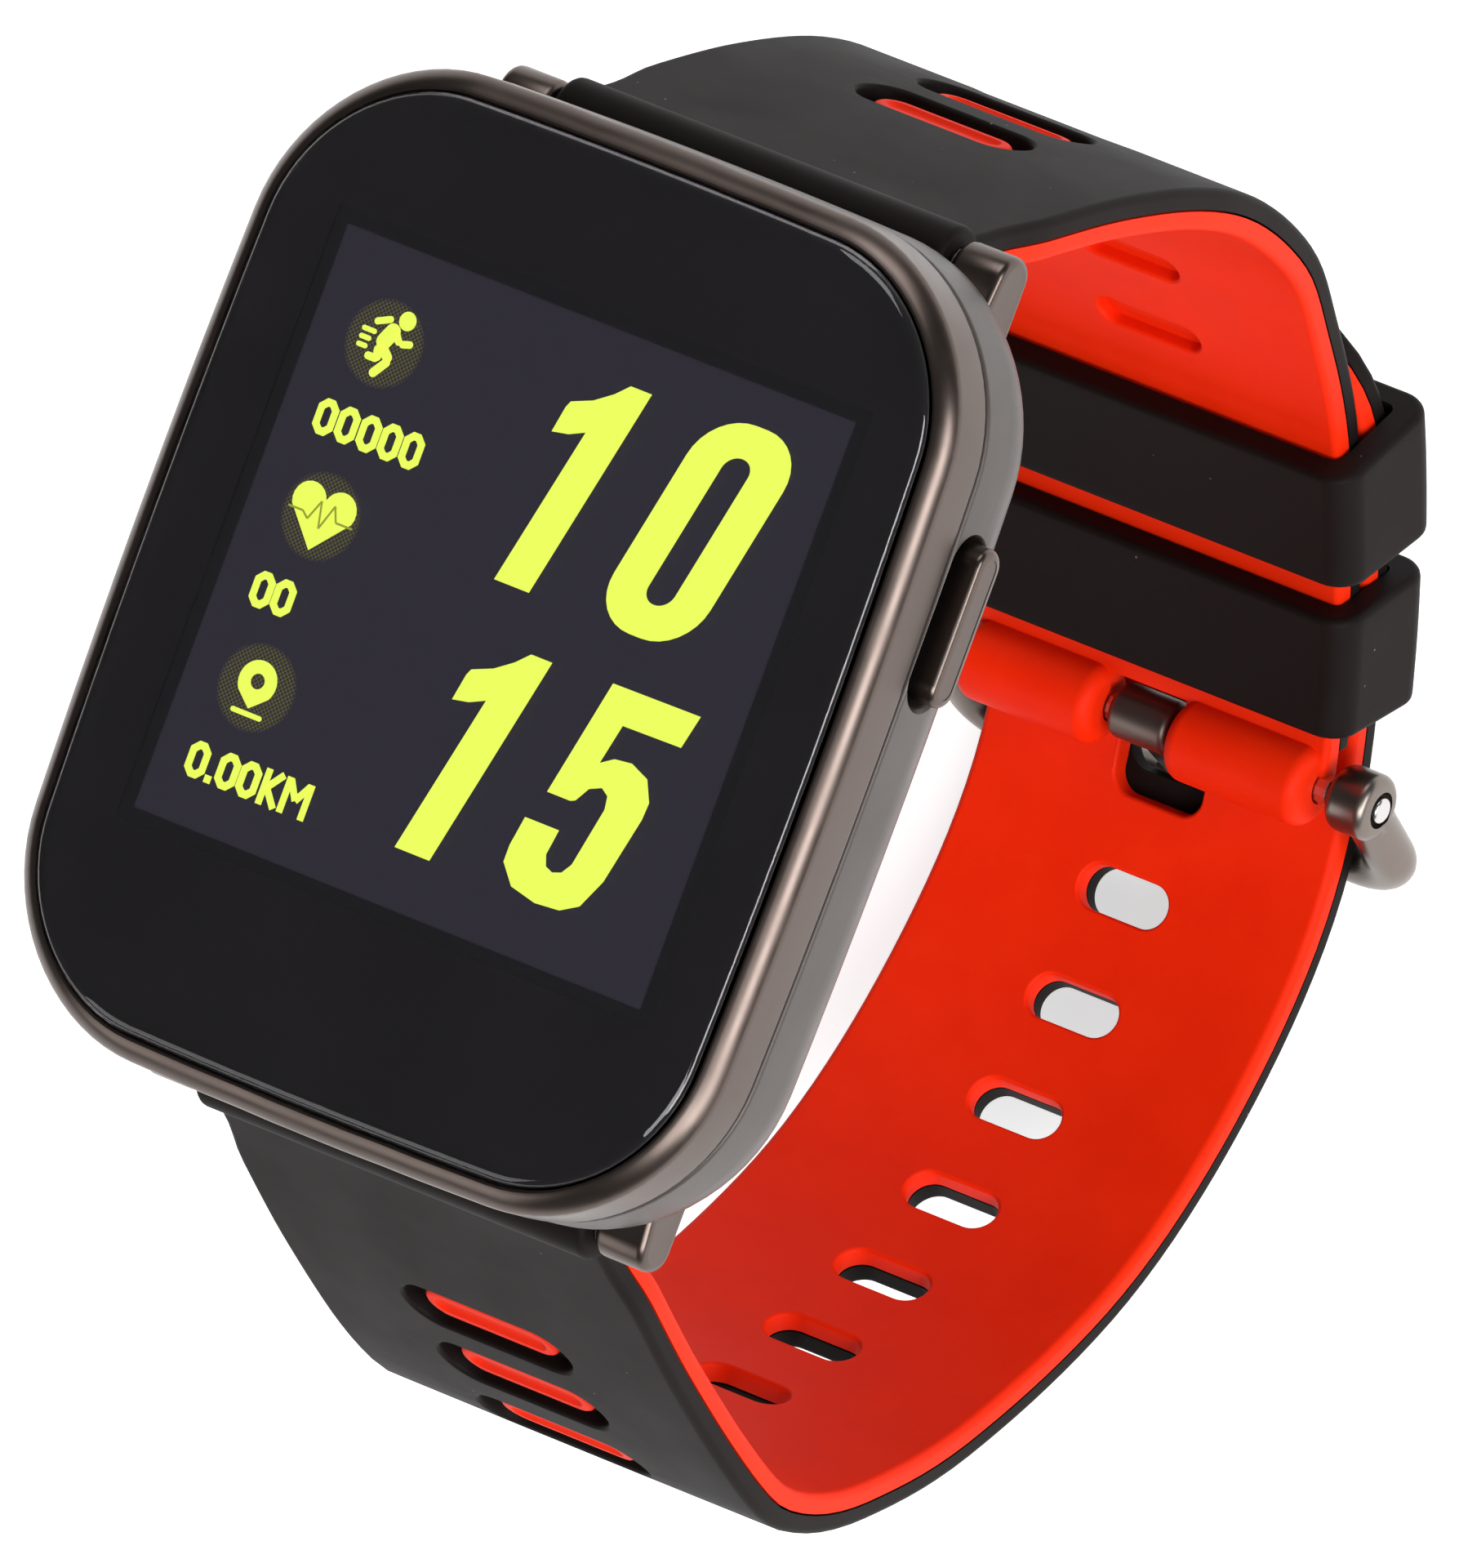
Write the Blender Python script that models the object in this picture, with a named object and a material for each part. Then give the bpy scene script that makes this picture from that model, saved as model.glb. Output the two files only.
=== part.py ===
"""GPS running watch, buckled: a rectangular head on a two-layer silicone strap.

Metres, with +X to 3 o'clock, +Y to 12 o'clock and +Z out of the glass. The origin is the centre of
the optical sensor window's wrist face, so the strap's loop hangs below it.
"""

import math

import bmesh
import bpy
from mathutils import Matrix, Vector

# ---- Fits -------------------------------------------------------------------------------------
FIT = 0.0001  # between pieces that are fastened or bonded together
RUNNING_FIT = 0.00025  # round pieces that slide

# ---- Head: plan -------------------------------------------------------------------------------
CASE_WIDTH = 0.0384
CASE_LENGTH = 0.0470
CASE_CORNER = 0.0090
SIDE_BULGE = 0.0006  # how much narrower the case is at its ends than across its middle
END_BULGE = 0.0005
BEZEL_LIP = 0.00103  # width of the metal seen round the glass
BEZEL_LEDGE = 0.0024  # how far in from the case's outline the ledge under the glass reaches
CASE_WALL = 0.0018
COVER_INSET = 0.0041  # back cover's edge, in from the case's outline
CORNER_STEPS = 7
SIDE_STEPS = 3

# ---- Head: heights above the wrist face -------------------------------------------------------
SENSOR_PROUD = 0.0004  # the window stands this far out of the back cover
COVER_THICKNESS = 0.0014
CASE_FOOT = 0.0008
FLANGE_LOW = 0.0025
FLANGE_HIGH = 0.0042
PARTING = 0.0080  # line between the mid case and the bezel
LEDGE_HIGH = 0.01035
BEZEL_TOP = 0.01145
GLASS_TOP = 0.0119
GASKET_THICKNESS = 0.0003

# ---- Display, on a centre a little towards 12 o'clock -------------------------------------------
DISPLAY_WIDTH = 0.0296
DISPLAY_LENGTH = 0.0330
DISPLAY_THICKNESS = 0.0014
DISPLAY_SHIFT = 0.00115

# ---- Inner pieces -----------------------------------------------------------------------------
BOARD_WIDTH = 0.0300
BOARD_LENGTH = 0.0380
BOARD_THICKNESS = 0.0008
BATTERY_WIDTH = 0.0240
BATTERY_LENGTH = 0.0265
BATTERY_THICKNESS = 0.0038
MOTOR_RADIUS = 0.0034
MOTOR_THICKNESS = 0.0026
ANTENNA_WIDTH = 0.0160
ANTENNA_DEPTH = 0.0045
ANTENNA_HEIGHT = 0.0030
INNER_GAP = 0.0003  # air between stacked inner pieces

# ---- Back: sensor, screws, contacts -----------------------------------------------------------
WINDOW_RADIUS = 0.0085
WINDOW_THICKNESS = 0.0016
SENSOR_BOARD_RADIUS = 0.0072
SENSOR_BOARD_THICKNESS = 0.0006
LED_SIZE = 0.0016
LED_RING = 0.0042
SCREW_HEAD_RADIUS = 0.0012
SCREW_HEAD_HEIGHT = 0.0007
SCREW_RADIUS = 0.0006
SCREW_LENGTH = 0.0040
BOSS_RADIUS = 0.0021
BOSS_HIGH = 0.0056
SCREW_INSET = 0.0060  # screw's centre, in from the case's rounded corner
CONTACT_COUNT = 4
CONTACT_PITCH = 0.0030
CONTACT_RADIUS = 0.0008
CONTACT_STEM_RADIUS = 0.0005
CONTACT_Y = -0.0135

# ---- Button, on the 3 o'clock side --------------------------------------------------------------
BUTTON_LENGTH = 0.0075
BUTTON_HEIGHT = 0.0024
BUTTON_PROUD = 0.0009
BUTTON_THICKNESS = 0.0011
BUTTON_Y = 0.0080
BUTTON_Z = 0.0063
BUTTON_TRAVEL = 0.0004
STEM_RADIUS = 0.0008
CLIP_RADIUS = 0.0014
CLIP_THICKNESS = 0.0004
CLIP_BEHIND = 0.0006  # how far the stem reaches past its clip
SEAL_RADIUS = 0.0012
SEAL_THICKNESS = 0.0005
SWITCH_SIZE = 0.0030
SWITCH_DEPTH = 0.0020

# ---- Lugs and spring bars ---------------------------------------------------------------------
LUG_GAP = 0.0220
LUG_THICKNESS = 0.0028
LUG_TIP_RADIUS = 0.00125
LUG_ROOT_INSET = 0.0033
LUG_ROOT_LOW = 0.0006
LUG_ROOT_HIGH = 0.0035
BAR_BEYOND_CASE = -0.0007  # spring bar's centre, out from the case's end
BAR_Z = 0.0016
BAR_RADIUS = 0.00075
BAR_BORE = 0.0005
PIN_RADIUS = 0.0004
PIN_LENGTH = 0.0030
PIN_ENGAGED = 0.0009
PIN_TRAVEL = 0.0010
BAR_END_GAP = 0.0003
SPRING_TURNS = 6
SPRING_WIRE = 0.00008

# ---- Strap ------------------------------------------------------------------------------------
STRAP_THICKNESS = 0.0020
STRAP_END_RADIUS = 0.0017  # the moulded tube round each lug's spring bar
STRAP_WIDTH_LUG = LUG_GAP - 0.0006
STRAP_WIDTH_SHOULDER = LUG_GAP + 0.0002  # just past the lugs
STRAP_WIDTH = LUG_GAP - 0.0023  # at the buckle and along the tail
SHOULDER_SPAN = (0.0030, 0.0070)  # from the lug bar, where it widens
TAPER_SPAN = (0.0200, 0.0450)  # and where it narrows again
STRAP_EDGE = 0.0003
LAYER_GAP = 0.0002  # between the two halves where they overlap
UPPER_LENGTH = 0.0650  # lug bar to buckle bar
LOWER_LENGTH = 0.1055  # lug bar to tip
TIP_ROUNDING = 0.0070
TIP_WIDTH = 0.0060
EXIT_SLOPE = math.radians(15)  # how far from straight down the strap leaves its lugs
LOOP_BULGE = 0.0077  # widest point of the loop beyond the spring bars
LOOP_DEPTH = 0.0546  # spring bars to the lowest point of the loop
# The loop's shape from the 12 o'clock lugs round to the 6 o'clock lugs, as shares of its half
# width and of its depth.
LOOP_SHAPE = (
    (0.918, 0.227), (0.972, 0.405), (0.934, 0.560), (0.845, 0.663), (0.672, 0.788),
    (0.334, 0.925), (0.010, 1.000), (-0.313, 0.984), (-0.628, 0.902), (-0.892, 0.745),
    (-1.016, 0.601), (-1.055, 0.487), (-1.026, 0.395), (-0.900, 0.222),
)
LOOP_SAMPLES = 24  # between two points of the shape
STRAP_STEP = 0.0032  # spacing of the strap's cross-sections

# ---- Slots, windows and recesses in the strap ---------------------------------------------------
SLOT_WIDTH = 0.0050
SLOT_LENGTH = 0.0023
SLOT_PITCH = 0.0055
SLOT_FIRST = 0.0091  # the first free slot, past the buckle bar
SLOTS_TO_LUGS = 8
SLOTS_TO_TIP = 3
VENT_WIDTH = 0.0091
VENT_LENGTH = 0.0034
VENT_RING_WIDTH = 0.0073
VENT_RING_LENGTH = 0.0022
VENT_FIRST = 0.0146  # from the lug bar
VENT_PITCH = 0.0053
VENTS = 3
RECESS_WIDTH = 0.0060
RECESS_LENGTH = 0.0020
RECESS_DEPTH = 0.0003
RECESS_PLACES = (0.0369, 0.0421)  # from the lug bar, on the wrist side of the buckle half

# ---- Keepers ----------------------------------------------------------------------------------
KEEPER_LENGTH = 0.0066
KEEPER_WALL = 0.0013
FIXED_KEEPER_AT = 0.0067  # its middle, from the buckle bar
KEEPER_SPACING = 0.0085
KEEPER_CLEARANCE = 0.00025  # round the strap, so that the free one slides

# ---- Buckle -----------------------------------------------------------------------------------
ROLL_RADIUS = 0.0016  # rolled strap end round the buckle bar
BUCKLE_GAP = STRAP_WIDTH + 0.0013
ARM_WIDTH = 0.0024
ARM_THICKNESS = 0.0022
KNUCKLE_RADIUS = 0.0016
FRAME_REACH = 0.0070  # buckle bar to cross bar
FRAME_TILT = math.radians(43)  # from the strap's line
FRAME_CORNER = 0.0024
TONGUE_WIDTH = 0.0034
TONGUE_THICKNESS = 0.0009
TONGUE_KNUCKLE = 0.00135
TONGUE_TILT = math.radians(50)
TONGUE_GAP = 0.00015  # round the tongue, in the cross bar's notch and at its slot's resting end
TONGUE_SWING = 0.00095  # free room in its slot on the side that it lifts to
TONGUE_OVERHANG = 0.0005  # past the cross bar
NOTCH_WIDTH = 0.0041

ROUND = 20  # sides of a round piece
SMALL_ROUND = 12

# ---- Sizes that follow ------------------------------------------------------------------------
CASE_END = CASE_LENGTH / 2
BAR_Y = CASE_END + BAR_BEYOND_CASE
GLASS_INSET = BEZEL_LIP + FIT
GLASS_LOW = LEDGE_HIGH + GASKET_THICKNESS + 2 * FIT
COVER_LOW = SENSOR_PROUD
COVER_HIGH = COVER_LOW + COVER_THICKNESS
DISPLAY_HIGH = GLASS_LOW - FIT
BOARD_HIGH = DISPLAY_HIGH - DISPLAY_THICKNESS - INNER_GAP
BOARD_LOW = BOARD_HIGH - BOARD_THICKNESS
HALF_GAP = LAYER_GAP / 2
CORNER_X = CASE_WIDTH / 2 - CASE_CORNER
CORNER_Y = CASE_LENGTH / 2 - CASE_CORNER
SCREW_X = CORNER_X + (CASE_CORNER - SCREW_INSET) / math.sqrt(2)
SCREW_Y = CORNER_Y + (CASE_CORNER - SCREW_INSET) / math.sqrt(2)


# ---- Scene and materials ----------------------------------------------------------------------
def clear_scene():
    for obj in list(bpy.data.objects):
        bpy.data.objects.remove(obj, do_unlink=True)


def finish(name, colour, roughness, metallic=0.0):
    made = bpy.data.materials.new(name)
    made.use_nodes = True
    shader = made.node_tree.nodes["Principled BSDF"]
    shader.inputs["Base Color"].default_value = (*colour, 1.0)
    shader.inputs["Roughness"].default_value = roughness
    shader.inputs["Metallic"].default_value = metallic
    made.diffuse_color = (*colour, 1.0)
    return made


def add_piece(name, mesh_data, look, origin=None):
    """Turns a bmesh into an object with its faces pointing out and its round sides smooth.

    A moving piece is given an origin on its joint's axis.
    """
    bmesh.ops.remove_doubles(mesh_data, verts=mesh_data.verts, dist=1e-7)
    bmesh.ops.recalc_face_normals(mesh_data, faces=mesh_data.faces)
    mesh = bpy.data.meshes.new(name)
    mesh_data.to_mesh(mesh)
    mesh_data.free()
    mesh.shade_smooth()
    mesh.set_sharp_from_angle(angle=math.radians(35))
    if look:
        mesh.materials.append(look)
    obj = bpy.data.objects.new(name, mesh)
    bpy.context.scene.collection.objects.link(obj)
    if origin:
        obj.location = origin
        mesh.transform(Matrix.Translation(-Vector(origin)))
    return obj


def boolean(obj, mesh_data, operation):
    cutter = add_piece(obj.name + "_" + operation.lower(), mesh_data, None)
    cutter.hide_render = True
    cutter.display_type = "WIRE"
    modifier = obj.modifiers.new(operation.title(), "BOOLEAN")
    modifier.operation = operation
    modifier.solver = "EXACT"
    modifier.object = cutter


def cut(obj, mesh_data):
    boolean(obj, mesh_data, "DIFFERENCE")


def join(obj, mesh_data):
    boolean(obj, mesh_data, "UNION")


# ---- Shapes -----------------------------------------------------------------------------------
def loft(rings, mesh_data=None, closed=False):
    """Skins a row of rings with the same number of points; the ends are capped unless it closes."""
    mesh_data = mesh_data or bmesh.new()
    rows = [[mesh_data.verts.new(point) for point in ring] for ring in rings]
    count = len(rows[0])
    pairs = list(zip(rows, rows[1:]))
    if closed:
        pairs.append((rows[-1], rows[0]))
    for low, high in pairs:
        for i in range(count):
            j = (i + 1) % count
            mesh_data.faces.new((low[i], low[j], high[j], high[i]))
    if not closed:
        mesh_data.faces.new(rows[0][::-1])
        mesh_data.faces.new(rows[-1])
    return mesh_data


def case_outline(inset, z):
    """The case's rounded, slightly barrelled outline, moved in by inset, at height z."""
    half_x = CASE_WIDTH / 2 - inset
    half_y = CASE_LENGTH / 2 - inset
    radius = max(CASE_CORNER - inset, 0.0004)
    centres = ((1, 1, 0), (-1, 1, 90), (-1, -1, 180), (1, -1, 270))
    flat = []
    for side_x, side_y, start in centres:
        corner = (side_x * (half_x - radius), side_y * (half_y - radius))
        for step in range(CORNER_STEPS + 1):
            angle = math.radians(start + 90 * step / CORNER_STEPS)
            flat.append((corner[0] + radius * math.cos(angle), corner[1] + radius * math.sin(angle)))
    points = []
    for i, (x, y) in enumerate(flat):
        points.append((x, y))
        if i % (CORNER_STEPS + 1) == CORNER_STEPS:
            next_x, next_y = flat[(i + 1) % len(flat)]
            for step in range(1, SIDE_STEPS + 1):
                share = step / (SIDE_STEPS + 1)
                points.append((x + (next_x - x) * share, y + (next_y - y) * share))
    return [barrelled(x, y, z) for x, y in points]


def barrelled(x, y, z):
    across = x / (CASE_WIDTH / 2)
    along = y / (CASE_LENGTH / 2)
    return Vector((
        x * (1 - SIDE_BULGE / (CASE_WIDTH / 2) * along**2),
        y * (1 - END_BULGE / (CASE_LENGTH / 2) * across**2),
        z,
    ))


def case_plate(profile):
    return loft([case_outline(inset, z) for inset, z in profile])


def case_ring(profile):
    return loft([case_outline(inset, z) for inset, z in profile], closed=True)


def block(low, high, mesh_data=None):
    x0, y0, z0 = low
    x1, y1, z1 = high
    plan = ((x0, y0), (x1, y0), (x1, y1), (x0, y1))
    return loft([[Vector((x, y, z)) for x, y in plan] for z in (z0, z1)], mesh_data)


def turned(profile, place, axis="Z", sides=ROUND, mesh_data=None, closed=False):
    """A lathe shape: profile is (radius, distance along the axis) from one end to the other."""
    rings = []
    for radius, height in profile:
        ring = []
        for i in range(sides):
            angle = 2 * math.pi * i / sides
            a, b = radius * math.cos(angle), radius * math.sin(angle)
            offset = (a, b, height) if axis == "Z" else (height, a, b)
            ring.append(Vector(place) + Vector(offset))
        rings.append(ring)
    return loft(rings, mesh_data, closed)


def stadium(width, length, steps=6):
    """Outline points (across, along) of a slot with round ends, longer across."""
    radius = length / 2
    points = []
    for side in (1, -1):
        for i in range(steps + 1):
            angle = math.radians(-90 + 180 * i / steps) + (0 if side > 0 else math.pi)
            points.append((
                side * (width / 2 - radius) + radius * math.cos(angle),
                radius * math.sin(angle),
            ))
    return points


# ---- The loop: a smooth curve between the two strap halves ------------------------------------
def loop_controls():
    half = STRAP_THICKNESS / 2 + HALF_GAP
    out_12 = Vector((math.cos(EXIT_SLOPE), math.sin(EXIT_SLOPE)))
    down_12 = Vector((out_12.y, -out_12.x))
    out_6 = Vector((-out_12.x, out_12.y))
    down_6 = Vector((-down_12.x, down_12.y))
    start = Vector((BAR_Y, BAR_Z)) + out_12 * half
    end = Vector((-BAR_Y, BAR_Z)) - out_6 * half
    lead = 0.006
    width = BAR_Y + LOOP_BULGE
    middle = [Vector((y * width, BAR_Z - z * LOOP_DEPTH)) for y, z in LOOP_SHAPE]
    return [start - down_12 * lead, start, *middle, end, end - down_6 * lead]


def spline(points, samples):
    """Catmull-Rom curve through all but the first and last points."""
    curve = []
    for p0, p1, p2, p3 in zip(points, points[1:], points[2:], points[3:]):
        for i in range(samples):
            t = i / samples
            curve.append(0.5 * (
                2 * p1 + (p2 - p0) * t + (2 * p0 - 5 * p1 + 4 * p2 - p3) * t**2
                + (3 * p1 - p0 - 3 * p2 + p3) * t**3
            ))
    curve.append(points[-2].copy())
    return curve


class Loop:
    """Places points by their distance along the loop from the 12 o'clock lugs."""

    def __init__(self):
        self.points = spline(loop_controls(), LOOP_SAMPLES)
        self.lengths = [0.0]
        for a, b in zip(self.points, self.points[1:]):
            self.lengths.append(self.lengths[-1] + (b - a).length)
        self.total = self.lengths[-1]

    def middle(self, s):
        """The curve's own point (y, z) at s, straight on past either end."""
        i = 0
        while i < len(self.points) - 2 and self.lengths[i + 1] < s:
            i += 1
        a, b = self.points[i], self.points[i + 1]
        return a + (b - a) * ((s - self.lengths[i]) / (self.lengths[i + 1] - self.lengths[i]))

    def along(self, s):
        reach = 0.0006
        return (self.middle(s + reach) - self.middle(s - reach)).normalized()

    def out(self, s):
        direction = self.along(s)
        return Vector((-direction.y, direction.x))

    def place(self, x, s, offset):
        """The point at x across, s along and offset out of the loop."""
        point = self.middle(s) + self.out(s) * offset
        return Vector((x, point.x, point.y))


LOOP = Loop()
BUCKLE_AT = UPPER_LENGTH
TIP_AT = LOOP.total - LOWER_LENGTH
BUCKLE_BAR = LOOP.place(0, BUCKLE_AT, -(HALF_GAP + ROLL_RADIUS))
BUCKLE_ALONG = LOOP.along(BUCKLE_AT)
BUCKLE_OUT = LOOP.out(BUCKLE_AT)


def from_buckle_bar(x, along, out):
    """The point at x, along the strap and out of the loop from the buckle bar's centre."""
    flat = BUCKLE_ALONG * along + BUCKLE_OUT * out
    return Vector((x, BUCKLE_BAR.y + flat.x, BUCKLE_BAR.z + flat.y))


def eased(distance, span):
    """Rises smoothly from 0 at the span's start to 1 at its end."""
    share = min(max((distance - span[0]) / (span[1] - span[0]), 0), 1)
    return share * share * (3 - 2 * share)


def strap_half_width(from_lug):
    width = STRAP_WIDTH_LUG
    width += (STRAP_WIDTH_SHOULDER - STRAP_WIDTH_LUG) * eased(from_lug, SHOULDER_SPAN)
    width += (STRAP_WIDTH - STRAP_WIDTH_SHOULDER) * eased(from_lug, TAPER_SPAN)
    return width / 2


def spread(start, end, step):
    count = max(2, round(abs(end - start) / step))
    return [start + (end - start) * i / count for i in range(count + 1)]


def layer_section(half, low, high, outer_edge):
    """Cross-section (x, offset) of one layer: its free face has small bevelled edges."""
    edge = STRAP_EDGE
    if outer_edge:
        return ((-half, low), (half, low), (half, high - edge), (half - edge, high),
                (edge - half, high), (-half, high - edge))
    return ((edge - half, low), (half - edge, low), (half, low + edge), (half, high),
            (-half, high), (-half, low + edge))


def strap_layer(name, stations, widths, low, high, outer_edge, look):
    rings = [
        [LOOP.place(x, s, offset) for x, offset in layer_section(half, low, high, outer_edge)]
        for s, half in zip(stations, widths)
    ]
    return add_piece(name, loft(rings), look)


def strap_prism(outline, s, low, high, mesh_data=None):
    """A prism through the strap at s, from offset low to offset high."""
    rings = []
    for offset in (low, high):
        base = LOOP.place(0, s, offset)
        direction = LOOP.along(s)
        rings.append([
            base + Vector((across, direction.x * along, direction.y * along))
            for across, along in outline
        ])
    return loft(rings, mesh_data)


# ---- Head -------------------------------------------------------------------------------------
def build_case():
    bezel = case_ring((
        (0.0003, PARTING + FIT), (0.0, PARTING + 0.0006), (0.0, BEZEL_TOP - 0.0011),
        (0.0002, BEZEL_TOP - 0.0004), (0.0005, BEZEL_TOP - 0.0001), (0.0008, BEZEL_TOP),
        (BEZEL_LIP, BEZEL_TOP - 0.0001), (BEZEL_LIP, LEDGE_HIGH), (BEZEL_LEDGE, LEDGE_HIGH),
        (BEZEL_LEDGE, LEDGE_HIGH - 0.0007), (CASE_WALL, LEDGE_HIGH - 0.0010),
        (CASE_WALL, PARTING + FIT),
    ))
    add_piece("bezel_ring", bezel, GUNMETAL)

    rim_in = COVER_INSET - 2 * FIT
    mid = add_piece("mid_case", case_ring((
        (0.0002, PARTING - FIT), (0.0, PARTING - 0.0008), (0.0001, 0.0050), (0.0007, 0.0034),
        (0.0018, 0.0018), (0.0026, 0.0010), (0.0031, CASE_FOOT), (rim_in, CASE_FOOT),
        (rim_in, FLANGE_LOW), (COVER_INSET + 0.0012, FLANGE_LOW),
        (COVER_INSET + 0.0012, FLANGE_HIGH), (CASE_WALL, FLANGE_HIGH), (CASE_WALL, PARTING - FIT),
    )), CASE_POLYMER)
    bosses = bmesh.new()
    holes = bmesh.new()
    for x, y in screw_places():
        turned(((BOSS_RADIUS, FLANGE_LOW), (BOSS_RADIUS, BOSS_HIGH)), (x, y, 0),
               sides=SMALL_ROUND, mesh_data=bosses)
        turned(((SCREW_RADIUS + FIT, 0), (SCREW_RADIUS + FIT, SCREW_LENGTH + COVER_LOW + FIT * 3)),
               (x, y, 0), sides=SMALL_ROUND, mesh_data=holes)
    join(mid, bosses)
    cut(mid, holes)
    pockets = bmesh.new()
    for side_x in (1, -1):
        for side_y in (1, -1):
            lug_shape(side_x, side_y, FIT, pockets)
    cut(mid, pockets)
    for side_y in (1, -1):
        scallop = STRAP_END_RADIUS + RUNNING_FIT
        half = LUG_GAP / 2 + FIT
        cut(mid, turned(((scallop, -half), (scallop, half)), (0, side_y * BAR_Y, BAR_Z), "X"))
    cut_button_opening(mid)

    cover = add_piece("back_cover", case_plate((
        (COVER_INSET + 0.0003, COVER_LOW), (COVER_INSET, COVER_LOW + 0.0003),
        (COVER_INSET, COVER_HIGH),
    )), BACK_POLYMER)
    openings = turned(((WINDOW_RADIUS + FIT, -FIT), (WINDOW_RADIUS + FIT, COVER_HIGH + FIT)),
                      (0, 0, 0), sides=2 * ROUND)
    for x, y in screw_places():
        turned(((SCREW_HEAD_RADIUS + FIT, 0), (SCREW_HEAD_RADIUS + FIT, screw_seat() + FIT),
                (SCREW_RADIUS + FIT, screw_seat() + FIT), (SCREW_RADIUS + FIT, COVER_HIGH + FIT)),
               (x, y, 0), sides=SMALL_ROUND, mesh_data=openings)
    for x in contact_places():
        turned(((CONTACT_RADIUS + FIT, 0), (CONTACT_RADIUS + FIT, contact_seat() + FIT),
                (CONTACT_STEM_RADIUS + FIT, contact_seat() + FIT),
                (CONTACT_STEM_RADIUS + FIT, COVER_HIGH + FIT)),
               (x, CONTACT_Y, 0), sides=SMALL_ROUND, mesh_data=openings)
    cut(cover, openings)

    gasket_in = COVER_INSET + 0.0009
    add_piece("back_gasket", case_ring((
        (COVER_INSET, COVER_HIGH + FIT), (COVER_INSET, FLANGE_LOW - FIT),
        (gasket_in, FLANGE_LOW - FIT), (gasket_in, COVER_HIGH + FIT),
    )), RUBBER)


def screw_places():
    return [(side_x * SCREW_X, side_y * SCREW_Y) for side_x in (1, -1) for side_y in (1, -1)]


def screw_seat():
    return COVER_LOW + SCREW_HEAD_HEIGHT


def contact_seat():
    return COVER_LOW + 0.0006


def contact_places():
    return [(i - (CONTACT_COUNT - 1) / 2) * CONTACT_PITCH for i in range(CONTACT_COUNT)]


def lug_shape(side_x, side_y, grow, mesh_data):
    """One lug: a root in the case that runs down to a round end about the spring bar."""
    root_y = CASE_END - LUG_ROOT_INSET - grow
    outline = [(root_y, LUG_ROOT_HIGH + grow)]
    radius = LUG_TIP_RADIUS + grow
    for i in range(11):
        angle = math.radians(100 - 200 * i / 10)
        outline.append((BAR_Y + radius * math.cos(angle), BAR_Z + radius * math.sin(angle)))
    outline.append((root_y, LUG_ROOT_LOW - grow))
    inner = LUG_GAP / 2 - grow
    outer = LUG_GAP / 2 + LUG_THICKNESS + grow
    edge = 0.0004
    middle = Vector((sum(y for y, _ in outline), sum(z for _, z in outline))) / len(outline)
    rings = []
    for x, inset in ((inner, edge), (inner + edge, 0), (outer - edge, 0), (outer, edge)):
        ring = []
        for y, z in outline:
            toward = middle - Vector((y, z))
            moved = Vector((y, z)) + toward.normalized() * inset
            ring.append(Vector((side_x * x, side_y * moved.x, moved.y)))
        rings.append(ring)
    return loft(rings, mesh_data)


def build_lugs():
    for side_y, hour in ((1, "12"), (-1, "6")):
        for side_x, hand in ((-1, "left"), (1, "right")):
            lug = add_piece(f"lug_{hour}_{hand}", lug_shape(side_x, side_y, 0, bmesh.new()), GUNMETAL)
            depth = LUG_GAP / 2 + PIN_ENGAGED + FIT
            profile = [(PIN_RADIUS + FIT, side_x * (LUG_GAP / 2 - FIT)), (PIN_RADIUS + FIT, side_x * depth)]
            cut(lug, turned(profile, (0, side_y * BAR_Y, BAR_Z), "X", SMALL_ROUND))


def build_glass():
    add_piece("glass_lens", case_plate((
        (GLASS_INSET, GLASS_LOW), (GLASS_INSET, GLASS_TOP - 0.0008),
        (GLASS_INSET + 0.0002, GLASS_TOP - 0.0004), (GLASS_INSET + 0.0007, GLASS_TOP - 0.0001),
        (GLASS_INSET + 0.0014, GLASS_TOP),
    )), GLASS)
    low = LEDGE_HIGH + FIT
    add_piece("lens_gasket", case_ring((
        (GLASS_INSET, low), (GLASS_INSET, low + GASKET_THICKNESS),
        (BEZEL_LEDGE, low + GASKET_THICKNESS), (BEZEL_LEDGE, low),
    )), RUBBER)
    display = block(
        (-DISPLAY_WIDTH / 2, DISPLAY_SHIFT - DISPLAY_LENGTH / 2, DISPLAY_HIGH - DISPLAY_THICKNESS),
        (DISPLAY_WIDTH / 2, DISPLAY_SHIFT + DISPLAY_LENGTH / 2, DISPLAY_HIGH),
    )
    add_piece("display_module", display, DISPLAY)


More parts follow.
